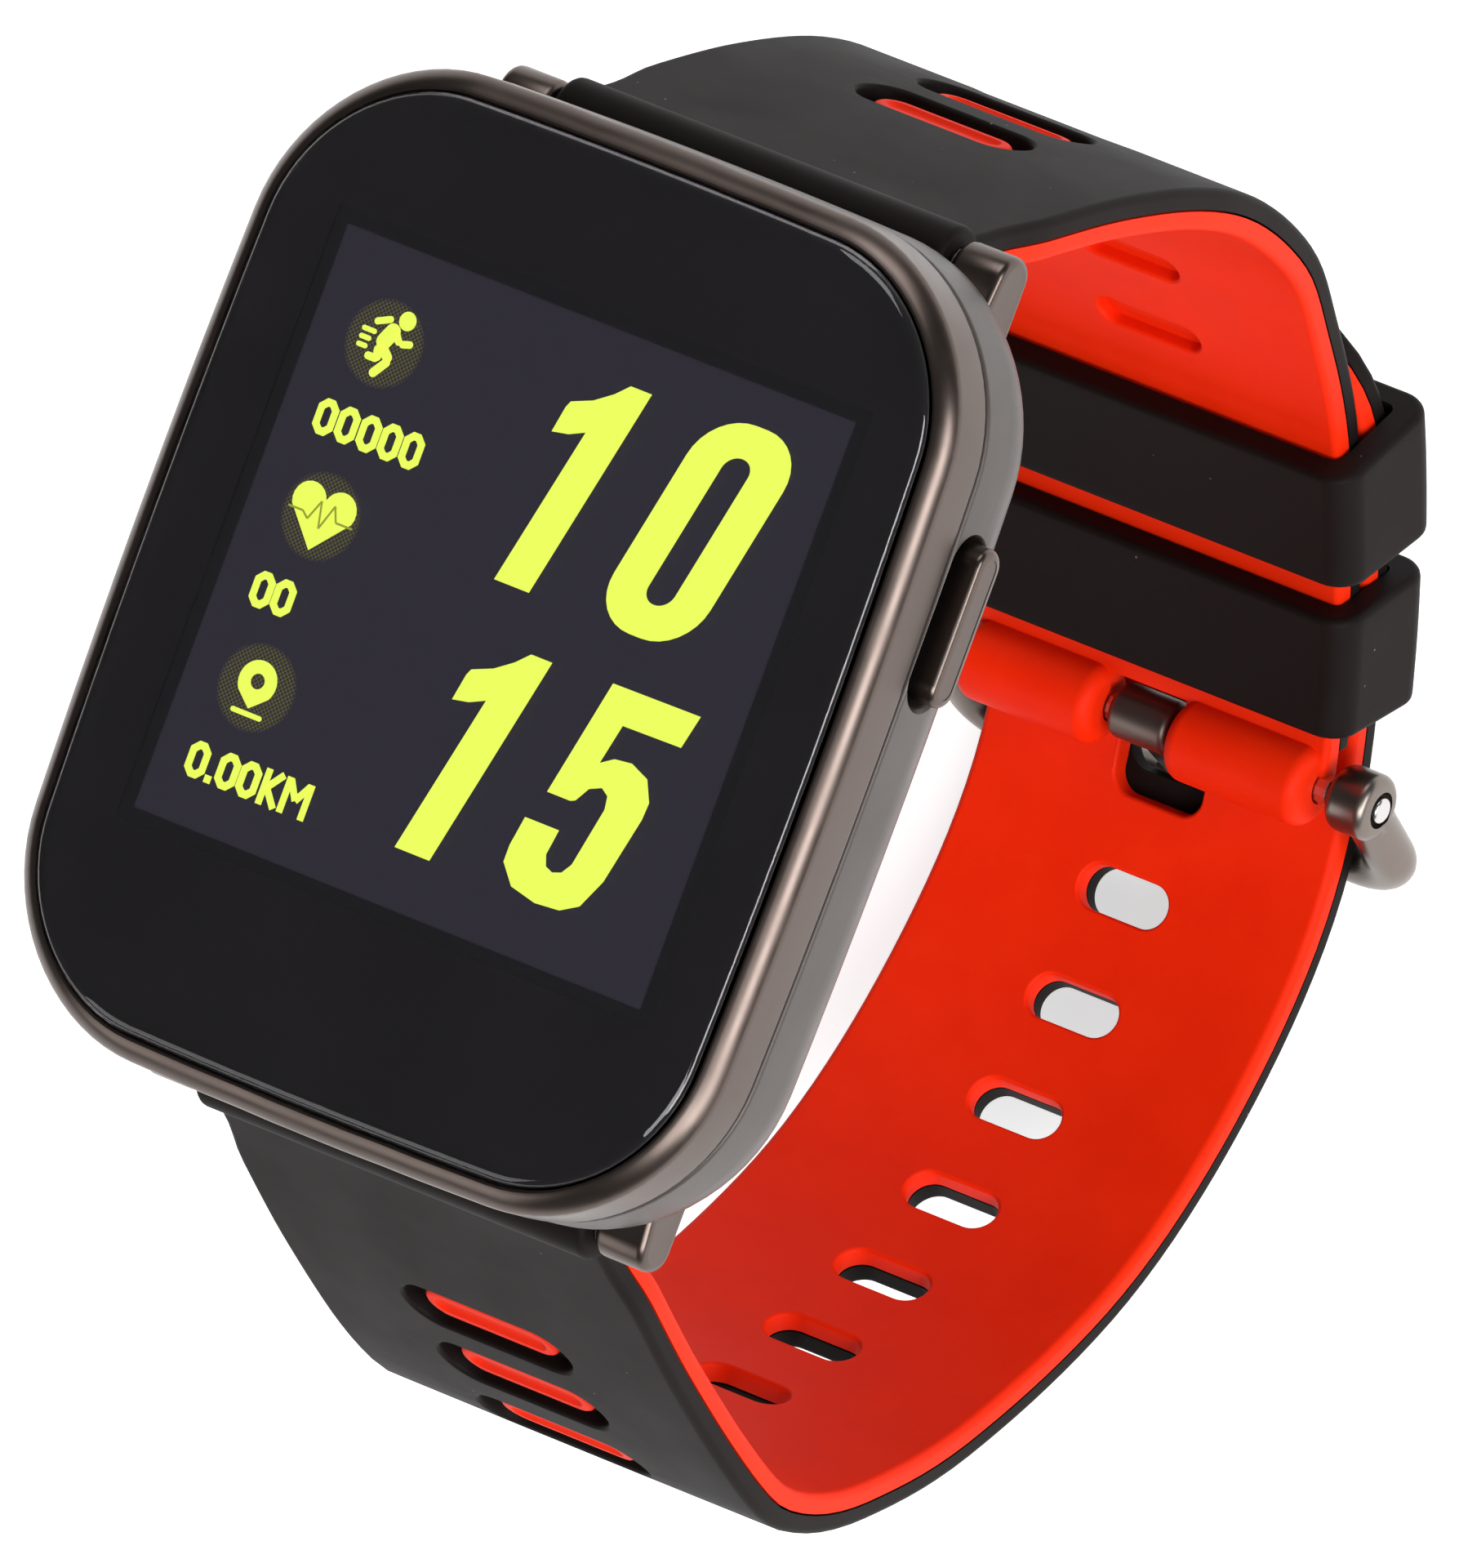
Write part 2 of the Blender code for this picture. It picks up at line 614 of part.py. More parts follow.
def build_inside():
    board = block((-BOARD_WIDTH / 2, -BOARD_LENGTH / 2, BOARD_LOW),
                  (BOARD_WIDTH / 2, BOARD_LENGTH / 2, BOARD_HIGH))
    add_piece("main_board", board, CIRCUIT)
    chips = (((-0.0060, 0.0070), 0.0070), ((0.0065, -0.0080), 0.0050), ((-0.0080, -0.0100), 0.0040))
    shields = bmesh.new()
    for (x, y), size in chips:
        block((x - size / 2, y - size / 2, BOARD_LOW - 0.0003),
              (x + size / 2, y + size / 2, BOARD_LOW + BOARD_THICKNESS / 2), shields)
    join(bpy.data.objects["main_board"], shields)

    battery_high = BOARD_LOW - 2 * INNER_GAP
    battery_low = battery_high - BATTERY_THICKNESS
    battery = block((-BATTERY_WIDTH / 2, -BATTERY_LENGTH / 2, battery_low),
                    (BATTERY_WIDTH / 2, BATTERY_LENGTH / 2, battery_high))
    bmesh.ops.bevel(battery, geom=battery.edges, offset=0.0006, segments=2, affect="EDGES")
    add_piece("battery", battery, CELL)

    end_y = CASE_END - CASE_WALL - INNER_GAP
    motor_y = -(BATTERY_LENGTH / 2 + INNER_GAP + MOTOR_RADIUS)
    add_piece("vibration_motor", turned((
        (MOTOR_RADIUS - 0.0002, battery_high - MOTOR_THICKNESS),
        (MOTOR_RADIUS, battery_high - MOTOR_THICKNESS + 0.0002),
        (MOTOR_RADIUS, battery_high),
    ), (0, motor_y, 0)), STEEL)
    antenna_y = min(BATTERY_LENGTH / 2 + INNER_GAP + ANTENNA_DEPTH, end_y)
    add_piece("gps_antenna", block(
        (-ANTENNA_WIDTH / 2, antenna_y - ANTENNA_DEPTH, battery_high - ANTENNA_HEIGHT),
        (ANTENNA_WIDTH / 2, antenna_y, battery_high),
    ), CERAMIC)


def build_back():
    add_piece("sensor_window", turned((
        (WINDOW_RADIUS - 0.0005, 0), (WINDOW_RADIUS, SENSOR_PROUD), (WINDOW_RADIUS, WINDOW_THICKNESS),
    ), (0, 0, 0), sides=2 * ROUND), DARK_GLASS)
    leds_low = WINDOW_THICKNESS + FIT
    board_low = leds_low + 0.0004
    sensor = add_piece("sensor_board", turned((
        (SENSOR_BOARD_RADIUS, board_low), (SENSOR_BOARD_RADIUS, board_low + SENSOR_BOARD_THICKNESS),
    ), (0, 0, 0)), CIRCUIT)
    leds = bmesh.new()
    half = LED_SIZE / 2
    for x, y in ((0, 0), (LED_RING, 0), (-LED_RING, 0), (0, LED_RING), (0, -LED_RING)):
        block((x - half, y - half, leds_low), (x + half, y + half, board_low + FIT), leds)
    join(sensor, leds)
    for number, (x, y) in enumerate(screw_places(), 1):
        screw = add_piece(f"back_screw_{number}", turned((
            (SCREW_HEAD_RADIUS, COVER_LOW), (SCREW_HEAD_RADIUS, screw_seat()),
            (SCREW_RADIUS, screw_seat()), (SCREW_RADIUS, COVER_LOW + SCREW_LENGTH),
        ), (x, y, 0), sides=SMALL_ROUND), STEEL)
        cut(screw, cross_recess(x, y))
    for number, x in enumerate(contact_places(), 1):
        add_piece(f"charge_contact_{number}", turned((
            (CONTACT_RADIUS, COVER_LOW), (CONTACT_RADIUS, contact_seat()),
            (CONTACT_STEM_RADIUS, contact_seat()), (CONTACT_STEM_RADIUS, COVER_HIGH + 0.0004),
        ), (x, CONTACT_Y, 0), sides=SMALL_ROUND), GOLD)


def cross_recess(x, y):
    """A cross-shaped driver recess in a screw's head, as one closed outline."""
    arm, half = SCREW_HEAD_RADIUS * 0.6, SCREW_HEAD_RADIUS * 0.16
    outline = ((arm, -half), (arm, half), (half, half), (half, arm), (-half, arm), (-half, half),
               (-arm, half), (-arm, -half), (-half, -half), (-half, -arm), (half, -arm), (half, -half))
    return loft([
        [Vector((x + a, y + b, z)) for a, b in outline]
        for z in (COVER_LOW - FIT, COVER_LOW + SCREW_HEAD_HEIGHT * 0.6)
    ])


def button_face():
    """How far out the case's side is where the button comes out."""
    return barrelled(CASE_WIDTH / 2, BUTTON_Y, 0).x


def button_prism(low, high, grow):
    outline = stadium(BUTTON_LENGTH + 2 * grow, BUTTON_HEIGHT + 2 * grow)
    return loft([
        [Vector((x, BUTTON_Y + along, BUTTON_Z + up)) for along, up in outline] for x in (low, high)
    ])


def button_cap_inner():
    return button_face() + BUTTON_PROUD - BUTTON_THICKNESS


def button_floor():
    """Bottom of the pocket that the cap travels in."""
    return button_cap_inner() - BUTTON_TRAVEL - FIT


def wall_inside():
    return barrelled(CASE_WIDTH / 2 - CASE_WALL, BUTTON_Y, 0).x


def cut_button_opening(case):
    """Pocket for the cap, the stem's bore through the wall and the O-ring's groove in it."""
    place = (0, BUTTON_Y, BUTTON_Z)
    cut(case, button_prism(button_floor(), button_face() + BUTTON_PROUD, FIT))
    bore = STEM_RADIUS + FIT
    cut(case, turned(((bore, wall_inside() - 0.001), (bore, button_floor() + 0.0003)), place, "X"))
    low, high = seal_span()
    groove = SEAL_RADIUS + FIT
    cut(case, turned(((groove, low - FIT), (groove, high + FIT)), place, "X"))


def seal_span():
    middle = (wall_inside() + button_floor()) / 2
    return middle - SEAL_THICKNESS / 2, middle + SEAL_THICKNESS / 2


def stem_end():
    return wall_inside() - FIT - CLIP_THICKNESS - CLIP_BEHIND


def build_button():
    place = (0, BUTTON_Y, BUTTON_Z)
    rest = (button_cap_inner(), BUTTON_Y, BUTTON_Z)
    top = button_face() + BUTTON_PROUD
    rings = []
    for x, inset in ((button_cap_inner(), 0), (top - 0.0003, 0), (top - 0.0001, 0.00012), (top, 0.0004)):
        outline = stadium(BUTTON_LENGTH - 2 * inset, BUTTON_HEIGHT - 2 * inset)
        rings.append([Vector((x, BUTTON_Y + along, BUTTON_Z + up)) for along, up in outline])
    button = add_piece("button", loft(rings), GUNMETAL, rest)
    join(button, turned(((STEM_RADIUS, stem_end()), (STEM_RADIUS, button_cap_inner() + 0.0003)), place, "X"))
    high = wall_inside() - FIT
    add_piece("button_clip", turned((
        (STEM_RADIUS + FIT / 2, high - CLIP_THICKNESS), (CLIP_RADIUS, high - CLIP_THICKNESS),
        (CLIP_RADIUS, high), (STEM_RADIUS + FIT / 2, high),
    ), place, "X", closed=True), STEEL, rest)
    low, high = seal_span()
    add_piece("button_seal", turned((
        (STEM_RADIUS + FIT / 2, low), (SEAL_RADIUS, low), (SEAL_RADIUS, high), (STEM_RADIUS + FIT / 2, high),
    ), place, "X", closed=True), RUBBER)
    plunger_end = stem_end() - BUTTON_TRAVEL - FIT
    body_end = plunger_end - 0.0005
    switch = add_piece("button_switch", block(
        (body_end - SWITCH_DEPTH, BUTTON_Y - SWITCH_SIZE / 2, BUTTON_Z - SWITCH_SIZE * 0.4),
        (body_end, BUTTON_Y + SWITCH_SIZE / 2, BUTTON_Z + SWITCH_SIZE * 0.4),
    ), POLYMER_BLACK)
    join(switch, turned(((0.0006, body_end - 0.0005), (0.0006, plunger_end)), place, "X", SMALL_ROUND))


# ---- Spring bars ------------------------------------------------------------------------------
def build_spring_bar(name, centre, gap):
    """A tube, the spring inside it and a sprung pin at each end, across a gap between two ears."""
    place = (0, centre[0], centre[1])
    half = gap / 2 - BAR_END_GAP
    add_piece(name + "_tube", turned((
        (BAR_BORE, -half), (BAR_RADIUS, -half), (BAR_RADIUS, half), (BAR_BORE, half),
    ), place, "X", SMALL_ROUND, closed=True), STEEL)
    tip = gap / 2 + PIN_ENGAGED
    for side, hand in ((-1, "left"), (1, "right")):
        profile = [(PIN_RADIUS, tip - PIN_LENGTH), (PIN_RADIUS, tip - 0.0002), (PIN_RADIUS * 0.6, tip)]
        pin = turned([(radius, side * x) for radius, x in profile], place, "X", SMALL_ROUND)
        add_piece(f"{name}_pin_{hand}", pin, STEEL, (side * tip, *centre))
    spring_half = tip - PIN_LENGTH - PIN_TRAVEL - 2 * FIT
    add_spring(name + "_spring", place, spring_half)


def add_spring(name, place, half):
    """A coil along X, swept from a helix with a square-cut wire."""
    radius = BAR_BORE - SPRING_WIRE - FIT
    per_turn = 6
    count = SPRING_TURNS * per_turn
    rings = []
    for i in range(count + 1):
        angle = 2 * math.pi * i / per_turn
        x = -half + 2 * half * i / count
        out = Vector((0, math.cos(angle), math.sin(angle)))
        centre = Vector(place) + Vector((x, 0, 0)) + out * radius
        axis = Vector((1, 0, 0))
        rings.append([
            centre + out * SPRING_WIRE, centre + axis * SPRING_WIRE,
            centre - out * SPRING_WIRE, centre - axis * SPRING_WIRE,
        ])
    add_piece(name, loft(rings), STEEL)


# ---- Strap ------------------------------------------------------------------------------------
def layer_offsets(side):
    """Offsets of the orange and the black layer: side -1 is the buckle half, 1 the slotted half."""
    near, far = HALF_GAP, HALF_GAP + STRAP_THICKNESS
    middle = HALF_GAP + STRAP_THICKNESS / 2
    if side > 0:
        return (near, middle - FIT / 2), (middle + FIT / 2, far)
    return (-far, -middle - FIT / 2), (-middle + FIT / 2, -near)


def add_lug_tube(strap, side_y):
    """The moulded tube round a lug's spring bar, and the bar's hole through the strap's end."""
    place = (0, side_y * BAR_Y, BAR_Z)
    half = STRAP_WIDTH_LUG / 2 - STRAP_EDGE
    join(strap, turned(((STRAP_END_RADIUS, -half), (STRAP_END_RADIUS, half)), place, "X"))
    bore_through(strap, place)


def bore_through(strap, place):
    bore = BAR_RADIUS + FIT
    cut(strap, turned(((bore, -STRAP_WIDTH_LUG), (bore, STRAP_WIDTH_LUG)), place, "X", SMALL_ROUND))


def cut_vents(orange, black, from_lug, orange_span, black_span):
    """Recessed windows in the black layer, each with a raised orange island in it."""
    windows, islands = bmesh.new(), bmesh.new()
    for i in range(VENTS):
        s = from_lug(VENT_FIRST + i * VENT_PITCH)
        strap_prism(stadium(VENT_WIDTH, VENT_LENGTH), s, black_span[0] - 2 * FIT,
                    black_span[1] + 0.001, windows)
        strap_prism(stadium(VENT_RING_WIDTH, VENT_RING_LENGTH), s, orange_span[0] + STRAP_THICKNESS / 8,
                    black_span[1] - 0.0003, islands)
    cut(black, windows)
    join(orange, islands)


def build_upper_strap():
    """The buckle half: black outside, orange on the wrist side and in a roll round the buckle bar."""
    orange_span, black_span = layer_offsets(-1)
    stations = spread(0, BUCKLE_AT - ROLL_RADIUS - 2 * FIT, STRAP_STEP)
    widths = [strap_half_width(s) for s in stations]
    black = strap_layer("upper_strap_outer", stations, widths, *black_span, True, SILICONE_BLACK)
    add_lug_tube(black, 1)
    stations = spread(STRAP_END_RADIUS + 2 * FIT, BUCKLE_AT, STRAP_STEP)
    widths = [strap_half_width(s) for s in stations]
    orange = strap_layer("upper_strap_inner", stations, widths, *orange_span, False, SILICONE_ORANGE)
    half = STRAP_WIDTH / 2 - STRAP_EDGE
    join(orange, turned(((ROLL_RADIUS, -half), (ROLL_RADIUS, half)), BUCKLE_BAR, "X"))
    bore_through(orange, BUCKLE_BAR)
    notch = [
        [from_buckle_bar(x, along, out) for along, out in (
            (-TONGUE_KNUCKLE - 0.0004, -2 * ROLL_RADIUS), (2 * ROLL_RADIUS, -2 * ROLL_RADIUS),
            (2 * ROLL_RADIUS, 2 * ROLL_RADIUS), (-TONGUE_KNUCKLE - 0.0004, 2 * ROLL_RADIUS))]
        for x in (-NOTCH_WIDTH / 2, NOTCH_WIDTH / 2)
    ]
    cut(orange, loft(notch))
    recesses = bmesh.new()
    for s in RECESS_PLACES:
        strap_prism(stadium(RECESS_WIDTH, RECESS_LENGTH), s, orange_span[0] - 0.0005,
                    orange_span[0] + RECESS_DEPTH, recesses)
    cut(orange, recesses)
    cut_vents(orange, black, lambda distance: distance, orange_span, black_span)


def slot_places():
    """Middles of the free slots; the tongue's own slot, one pitch short of the first, leans with it."""
    first = BUCKLE_AT + SLOT_FIRST
    places = [first + i * SLOT_PITCH for i in range(SLOTS_TO_LUGS)]
    return places + [first - (i + 2) * SLOT_PITCH for i in range(SLOTS_TO_TIP)]


def tip_stations():
    """Cross-sections that close up towards the rounded tip, with the width at each."""
    steps = 6
    stations, widths = [], []
    for i in range(steps):
        angle = math.pi / 2 * i / steps
        stations.append(TIP_AT + TIP_ROUNDING * (1 - math.cos(angle)))
        share = math.sin(angle)
        widths.append((TIP_WIDTH + (STRAP_WIDTH - TIP_WIDTH) * share) / 2)
    return stations, widths


def build_lower_strap():
    """The slotted half: it passes through the buckle and lies on the other half, to its tip."""
    orange_span, black_span = layer_offsets(1)
    end = LOOP.total
    tips, tip_widths = tip_stations()
    made = {}
    for name, last, span, outer, look in (
        ("lower_strap_inner", end - STRAP_END_RADIUS - 2 * FIT, orange_span, False, SILICONE_ORANGE),
        ("lower_strap_outer", end, black_span, True, SILICONE_BLACK),
    ):
        rest = spread(TIP_AT + TIP_ROUNDING, last, STRAP_STEP)
        widths = tip_widths + [strap_half_width(end - s) for s in rest]
        made[name] = strap_layer(name, tips + rest, widths, *span, outer, look)
    orange, black = made["lower_strap_inner"], made["lower_strap_outer"]
    add_lug_tube(black, -1)
    for layer in (orange, black):
        slots = bmesh.new()
        for s in slot_places():
            strap_prism(stadium(SLOT_WIDTH, SLOT_LENGTH), s, HALF_GAP - 0.0005,
                        HALF_GAP + STRAP_THICKNESS + 0.0005, slots)
        cut(layer, slots)
        cut(layer, tongue_block(SLOT_WIDTH / 2, ROLL_RADIUS, FRAME_REACH,
                                -TONGUE_THICKNESS / 2 - TONGUE_GAP, TONGUE_THICKNESS / 2 + TONGUE_SWING))
    cut_vents(orange, black, lambda distance: end - distance, orange_span, black_span)


# ---- Keepers ----------------------------------------------------------------------------------
def round_rectangle(half_x, low, high, radius, steps=3):
    points = []
    for side_x, edge, start in ((1, high, 0), (-1, high, 90), (-1, low, 180), (1, low, 270)):
        centre_x = side_x * (half_x - radius)
        centre_z = edge - radius if edge == high else edge + radius
        for i in range(steps + 1):
            angle = math.radians(start + 90 * i / steps)
            points.append((centre_x + radius * math.cos(angle), centre_z + radius * math.sin(angle)))
    return points


def keeper(name, middle, clearance, origin=None):
    """A loop round both strap halves that follows their curve."""
    half_x = STRAP_WIDTH / 2 + clearance
    reach = HALF_GAP + STRAP_THICKNESS + clearance
    stations = spread(middle - KEEPER_LENGTH / 2, middle + KEEPER_LENGTH / 2, KEEPER_LENGTH / 4)
    inner = round_rectangle(half_x, -reach, reach, 0.0003)
    edge = 0.0003
    rings = []
    for i, s in enumerate(stations):
        wall = KEEPER_WALL - (edge if i in (0, len(stations) - 1) else 0)
        outline = round_rectangle(half_x + wall, -reach - wall, reach + wall, 0.0012)
        rings.append([LOOP.place(x, s, offset) for x, offset in outline])
    rings += [[LOOP.place(x, s, offset) for x, offset in inner] for s in reversed(stations)]
    return add_piece(name, loft(rings, closed=True), SILICONE_BLACK, origin)


def curve_centre(s):
    """Centre of the circle that the loop follows at s, over a keeper's travel."""
    reach = KEEPER_LENGTH
    a, b, c = (LOOP.middle(s + step) for step in (-reach, 0, reach))
    ab, ac = b - a, c - a
    cross = 2 * (ab.x * ac.y - ab.y * ac.x)
    x = (ac.y * ab.length_squared - ab.y * ac.length_squared) / cross
    y = (ab.x * ac.length_squared - ac.x * ab.length_squared) / cross
    return a + Vector((x, y))


def build_keepers():
    fixed_at = BUCKLE_AT - FIXED_KEEPER_AT
    keeper("fixed_keeper", fixed_at, FIT)
    free_at = fixed_at - KEEPER_SPACING
    centre = curve_centre(free_at)
    keeper("free_keeper", free_at, KEEPER_CLEARANCE, Vector((0, centre.x, centre.y)))


# ---- Buckle -----------------------------------------------------------------------------------
def tilted(tilt, x, up, across):
    """A point of a piece that leans on the buckle bar: up is away from the bar, across its thickness."""
    cos, sin = math.cos(tilt), math.sin(tilt)
    return from_buckle_bar(x, cos * up - sin * across, sin * up + cos * across)


def tongue_block(half_x, up_from, up_to, low, high):
    """A block in the tongue's own directions."""
    corners = ((-half_x, low), (half_x, low), (half_x, high), (-half_x, high))
    return loft([[tilted(TONGUE_TILT, x, up, across) for x, across in corners]
                 for up in (up_from, up_to)])


def frame_path():
    """The middle line (x, up) of the two arms and the cross bar, with each point's outward side."""
    arm_x = BUCKLE_GAP / 2 + ARM_WIDTH / 2
    path = [(-arm_x, KNUCKLE_RADIUS * 0.4, 180)]
    for side, start in ((-1, 180), (1, 90)):
        for i in range(6):
            angle = start - 90 * i / 5
            centre = (side * (arm_x - FRAME_CORNER), FRAME_REACH - FRAME_CORNER)
            turn = math.radians(angle)
            path.append((centre[0] + FRAME_CORNER * math.cos(turn),
                         centre[1] + FRAME_CORNER * math.sin(turn), angle))
    path.append((arm_x, KNUCKLE_RADIUS * 0.4, 0))
    return path


def build_buckle_frame():
    rings = []
    sides = 12
    for x, up, facing in frame_path():
        out = math.radians(facing)
        ring = []
        for i in range(sides):
            angle = 2 * math.pi * i / sides
            wide, thick = ARM_WIDTH / 2 * math.cos(angle), ARM_THICKNESS / 2 * math.sin(angle)
            ring.append(tilted(FRAME_TILT, x + math.cos(out) * wide, up + math.sin(out) * wide, thick))
        rings.append(ring)
    frame = add_piece("buckle_frame", loft(rings), GUNMETAL, BUCKLE_BAR)
    knuckles, holes = bmesh.new(), bmesh.new()
    for side in (-1, 1):
        inner = BUCKLE_GAP / 2 + 0.00005
        outer = BUCKLE_GAP / 2 + ARM_WIDTH - 0.00005
        profile = ((KNUCKLE_RADIUS, side * inner), (KNUCKLE_RADIUS, side * outer))
        turned(profile, BUCKLE_BAR, "X", mesh_data=knuckles)
        hole = PIN_RADIUS + FIT
        profile = ((hole, side * (inner - 0.0005)), (hole, side * (BUCKLE_GAP / 2 + PIN_ENGAGED + FIT)))
        turned(profile, BUCKLE_BAR, "X", SMALL_ROUND, mesh_data=holes)
    join(frame, knuckles)
    cut(frame, holes)
    low = -TONGUE_THICKNESS / 2 - TONGUE_GAP
    cut(frame, tongue_block(TONGUE_WIDTH / 2 + TONGUE_GAP, FRAME_REACH / 2, FRAME_REACH * 1.5, low,
                            FRAME_REACH / 2))


def build_tongue():
    end = FRAME_REACH + ARM_WIDTH / 2 + TONGUE_OVERHANG
    rings = []
    for up, share in ((0.0002, 1), (end - 0.0008, 1), (end - 0.0003, 0.85), (end, 0.5)):
        half, thick = TONGUE_WIDTH / 2 * share, TONGUE_THICKNESS / 2 * share
        edge = 0.0002 * share
        section = ((-half + edge, -thick), (half - edge, -thick), (half, edge - thick), (half, thick - edge),
                   (half - edge, thick), (edge - half, thick), (-half, thick - edge), (-half, edge - thick))
        rings.append([tilted(TONGUE_TILT, x, up, across) for x, across in section])
    tongue = add_piece("buckle_tongue", loft(rings), GUNMETAL, BUCKLE_BAR)
    half = TONGUE_WIDTH / 2 - 0.00005
    join(tongue, turned(((TONGUE_KNUCKLE, -half), (TONGUE_KNUCKLE, half)), BUCKLE_BAR, "X"))
    bore = BAR_RADIUS + FIT
    cut(tongue, turned(((bore, -TONGUE_WIDTH), (bore, TONGUE_WIDTH)), BUCKLE_BAR, "X", SMALL_ROUND))


clear_scene()
GUNMETAL = finish("gunmetal", (0.26, 0.22, 0.21), 0.28, 1.0)
STEEL = finish("steel", (0.62, 0.62, 0.63), 0.3, 1.0)
GOLD = finish("contact_gold", (0.83, 0.62, 0.28), 0.25, 1.0)
GLASS = finish("glass", (0.02, 0.015, 0.02), 0.04)
DARK_GLASS = finish("sensor_glass", (0.03, 0.03, 0.035), 0.08)
DISPLAY = finish("display", (0.024, 0.021, 0.035), 0.2)
CASE_POLYMER = finish("case_polymer", (0.17, 0.155, 0.15), 0.45)
BACK_POLYMER = finish("back_polymer", (0.03, 0.03, 0.032), 0.5)
POLYMER_BLACK = finish("switch_polymer", (0.02, 0.02, 0.02), 0.5)
RUBBER = finish("seal_rubber", (0.02, 0.02, 0.02), 0.8)
CIRCUIT = finish("circuit", (0.02, 0.12, 0.06), 0.5)
CELL = finish("battery_foil", (0.55, 0.56, 0.58), 0.35, 0.8)
CERAMIC = finish("antenna_ceramic", (0.75, 0.7, 0.6), 0.5)
SILICONE_BLACK = finish("silicone_black", (0.014, 0.009, 0.008), 0.6)
SILICONE_ORANGE = finish("silicone_orange", (0.80, 0.035, 0.008), 0.5)

build_case()
build_lugs()
build_glass()
build_inside()
build_back()
build_button()
for bar, centre, gap in (
    ("upper_bar", (BAR_Y, BAR_Z), LUG_GAP),
    ("lower_bar", (-BAR_Y, BAR_Z), LUG_GAP),
    ("buckle_bar", (BUCKLE_BAR.y, BUCKLE_BAR.z), BUCKLE_GAP),
):
    build_spring_bar(bar, centre, gap)
build_upper_strap()
build_lower_strap()
build_keepers()
build_buckle_frame()
build_tongue()
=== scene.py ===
# %% Load the watch's solids
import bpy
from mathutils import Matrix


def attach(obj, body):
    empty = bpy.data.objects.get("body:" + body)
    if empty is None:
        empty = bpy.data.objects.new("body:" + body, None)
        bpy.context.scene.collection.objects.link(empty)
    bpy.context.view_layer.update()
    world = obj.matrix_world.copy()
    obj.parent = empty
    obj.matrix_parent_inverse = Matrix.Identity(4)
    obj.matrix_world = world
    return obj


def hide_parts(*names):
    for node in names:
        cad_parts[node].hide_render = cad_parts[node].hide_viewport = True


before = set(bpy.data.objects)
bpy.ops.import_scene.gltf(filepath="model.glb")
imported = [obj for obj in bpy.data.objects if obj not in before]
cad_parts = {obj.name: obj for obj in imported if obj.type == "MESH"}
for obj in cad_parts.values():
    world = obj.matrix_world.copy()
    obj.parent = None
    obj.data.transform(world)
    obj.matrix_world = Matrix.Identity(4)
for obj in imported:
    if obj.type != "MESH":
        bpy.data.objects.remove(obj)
print(len(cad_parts), "solids loaded")

# %% [markdown]
# # Finishing a GPS running watch
# The solids of the watch come ready made: they hold its sizes, its joints and everything that
# moves. They are plain and faceted, though. In this lesson every piece that the eye meets is made
# again with finer forms, and each gets a finish like the real one.
# The origin is the middle of the sensor window on the back, +Z points out of the glass, +Y to
# 12 o'clock and +X to 3 o'clock. All lengths are metres, so `MM` keeps the numbers readable.

# %% Clear the selection
import math
import bmesh
import bpy
from mathutils import Matrix, Vector

MM = 0.001
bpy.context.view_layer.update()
bpy.ops.object.select_all(action="DESELECT")

# %% [markdown]
# ## Small helpers
# Edit-mode operators act on what is selected, so most steps are "pick, then do". `pick` selects
# faces, edges or verts whose middle passes a test, which is how a person clicks on them.
# `block` is the usual start, a cube at its size and place, and `apply` adds a modifier and applies
# it at once, because a finished piece should carry plain geometry.

# %% Helpers for picking and for modifiers
def middle(item):
    if isinstance(item, bmesh.types.BMVert):
        return item.co
    return sum((v.co for v in item.verts), Vector()) / len(item.verts)


def pick(kind, test):
    """Selects only the verts, edges or faces that pass the test, in edit mode."""
    data = bpy.context.edit_object.data
    mesh = bmesh.from_edit_mesh(data)
    bpy.context.tool_settings.mesh_select_mode = tuple(kind == k for k in ("verts", "edges", "faces"))
    bpy.ops.mesh.select_all(action="DESELECT")
    found = [item for item in getattr(mesh, kind) if test(item)]
    for item in found:
        item.select_set(True)
    mesh.select_flush_mode()
    bmesh.update_edit_mesh(data)
    return len(found)


def only(obj):
    bpy.ops.object.select_all(action="DESELECT")
    obj.select_set(True)
    bpy.context.view_layer.objects.active = obj


def edit(obj):
    only(obj)
    bpy.ops.object.mode_set(mode="EDIT")


def done():
    bpy.ops.object.mode_set(mode="OBJECT")


def settle(obj):
    """Puts the object's place, turn and size into its mesh."""
    only(obj)
    bpy.ops.object.transform_apply(location=True, rotation=True, scale=True)


def named(name):
    """The primitive just added, under its own name."""
    obj = bpy.context.object
    obj.name = obj.data.name = name
    return obj


def block(name, low, high):
    """A cube primitive from its lowest to its highest corner, in millimetres."""
    bpy.ops.mesh.primitive_cube_add(size=1, location=[(a + b) / 2 * MM for a, b in zip(low, high)])
    obj = named(name)
    obj.scale = [(b - a) * MM for a, b in zip(low, high)]
    settle(obj)
    return obj


def rod(name, centre, radius, length):
    """A cylinder primitive along X, in millimetres."""
    bpy.ops.mesh.primitive_cylinder_add(vertices=48, radius=radius * MM, depth=length * MM,
                                        location=[c * MM for c in centre], rotation=(0, math.pi / 2, 0))
    obj = named(name)
    settle(obj)
    return obj


def apply(obj, kind, **settings):
    only(obj)
    modifier = obj.modifiers.new(kind.title(), kind)
    for key, value in settings.items():
        setattr(modifier, key, value)
    bpy.ops.object.modifier_apply(modifier=modifier.name)


def cut(obj, cutter, operation="DIFFERENCE"):
    """Cuts or joins with another solid, then removes that solid."""
    apply(obj, "BOOLEAN", object=cutter, operation=operation, solver="EXACT")
    bpy.data.objects.remove(cutter, do_unlink=True)


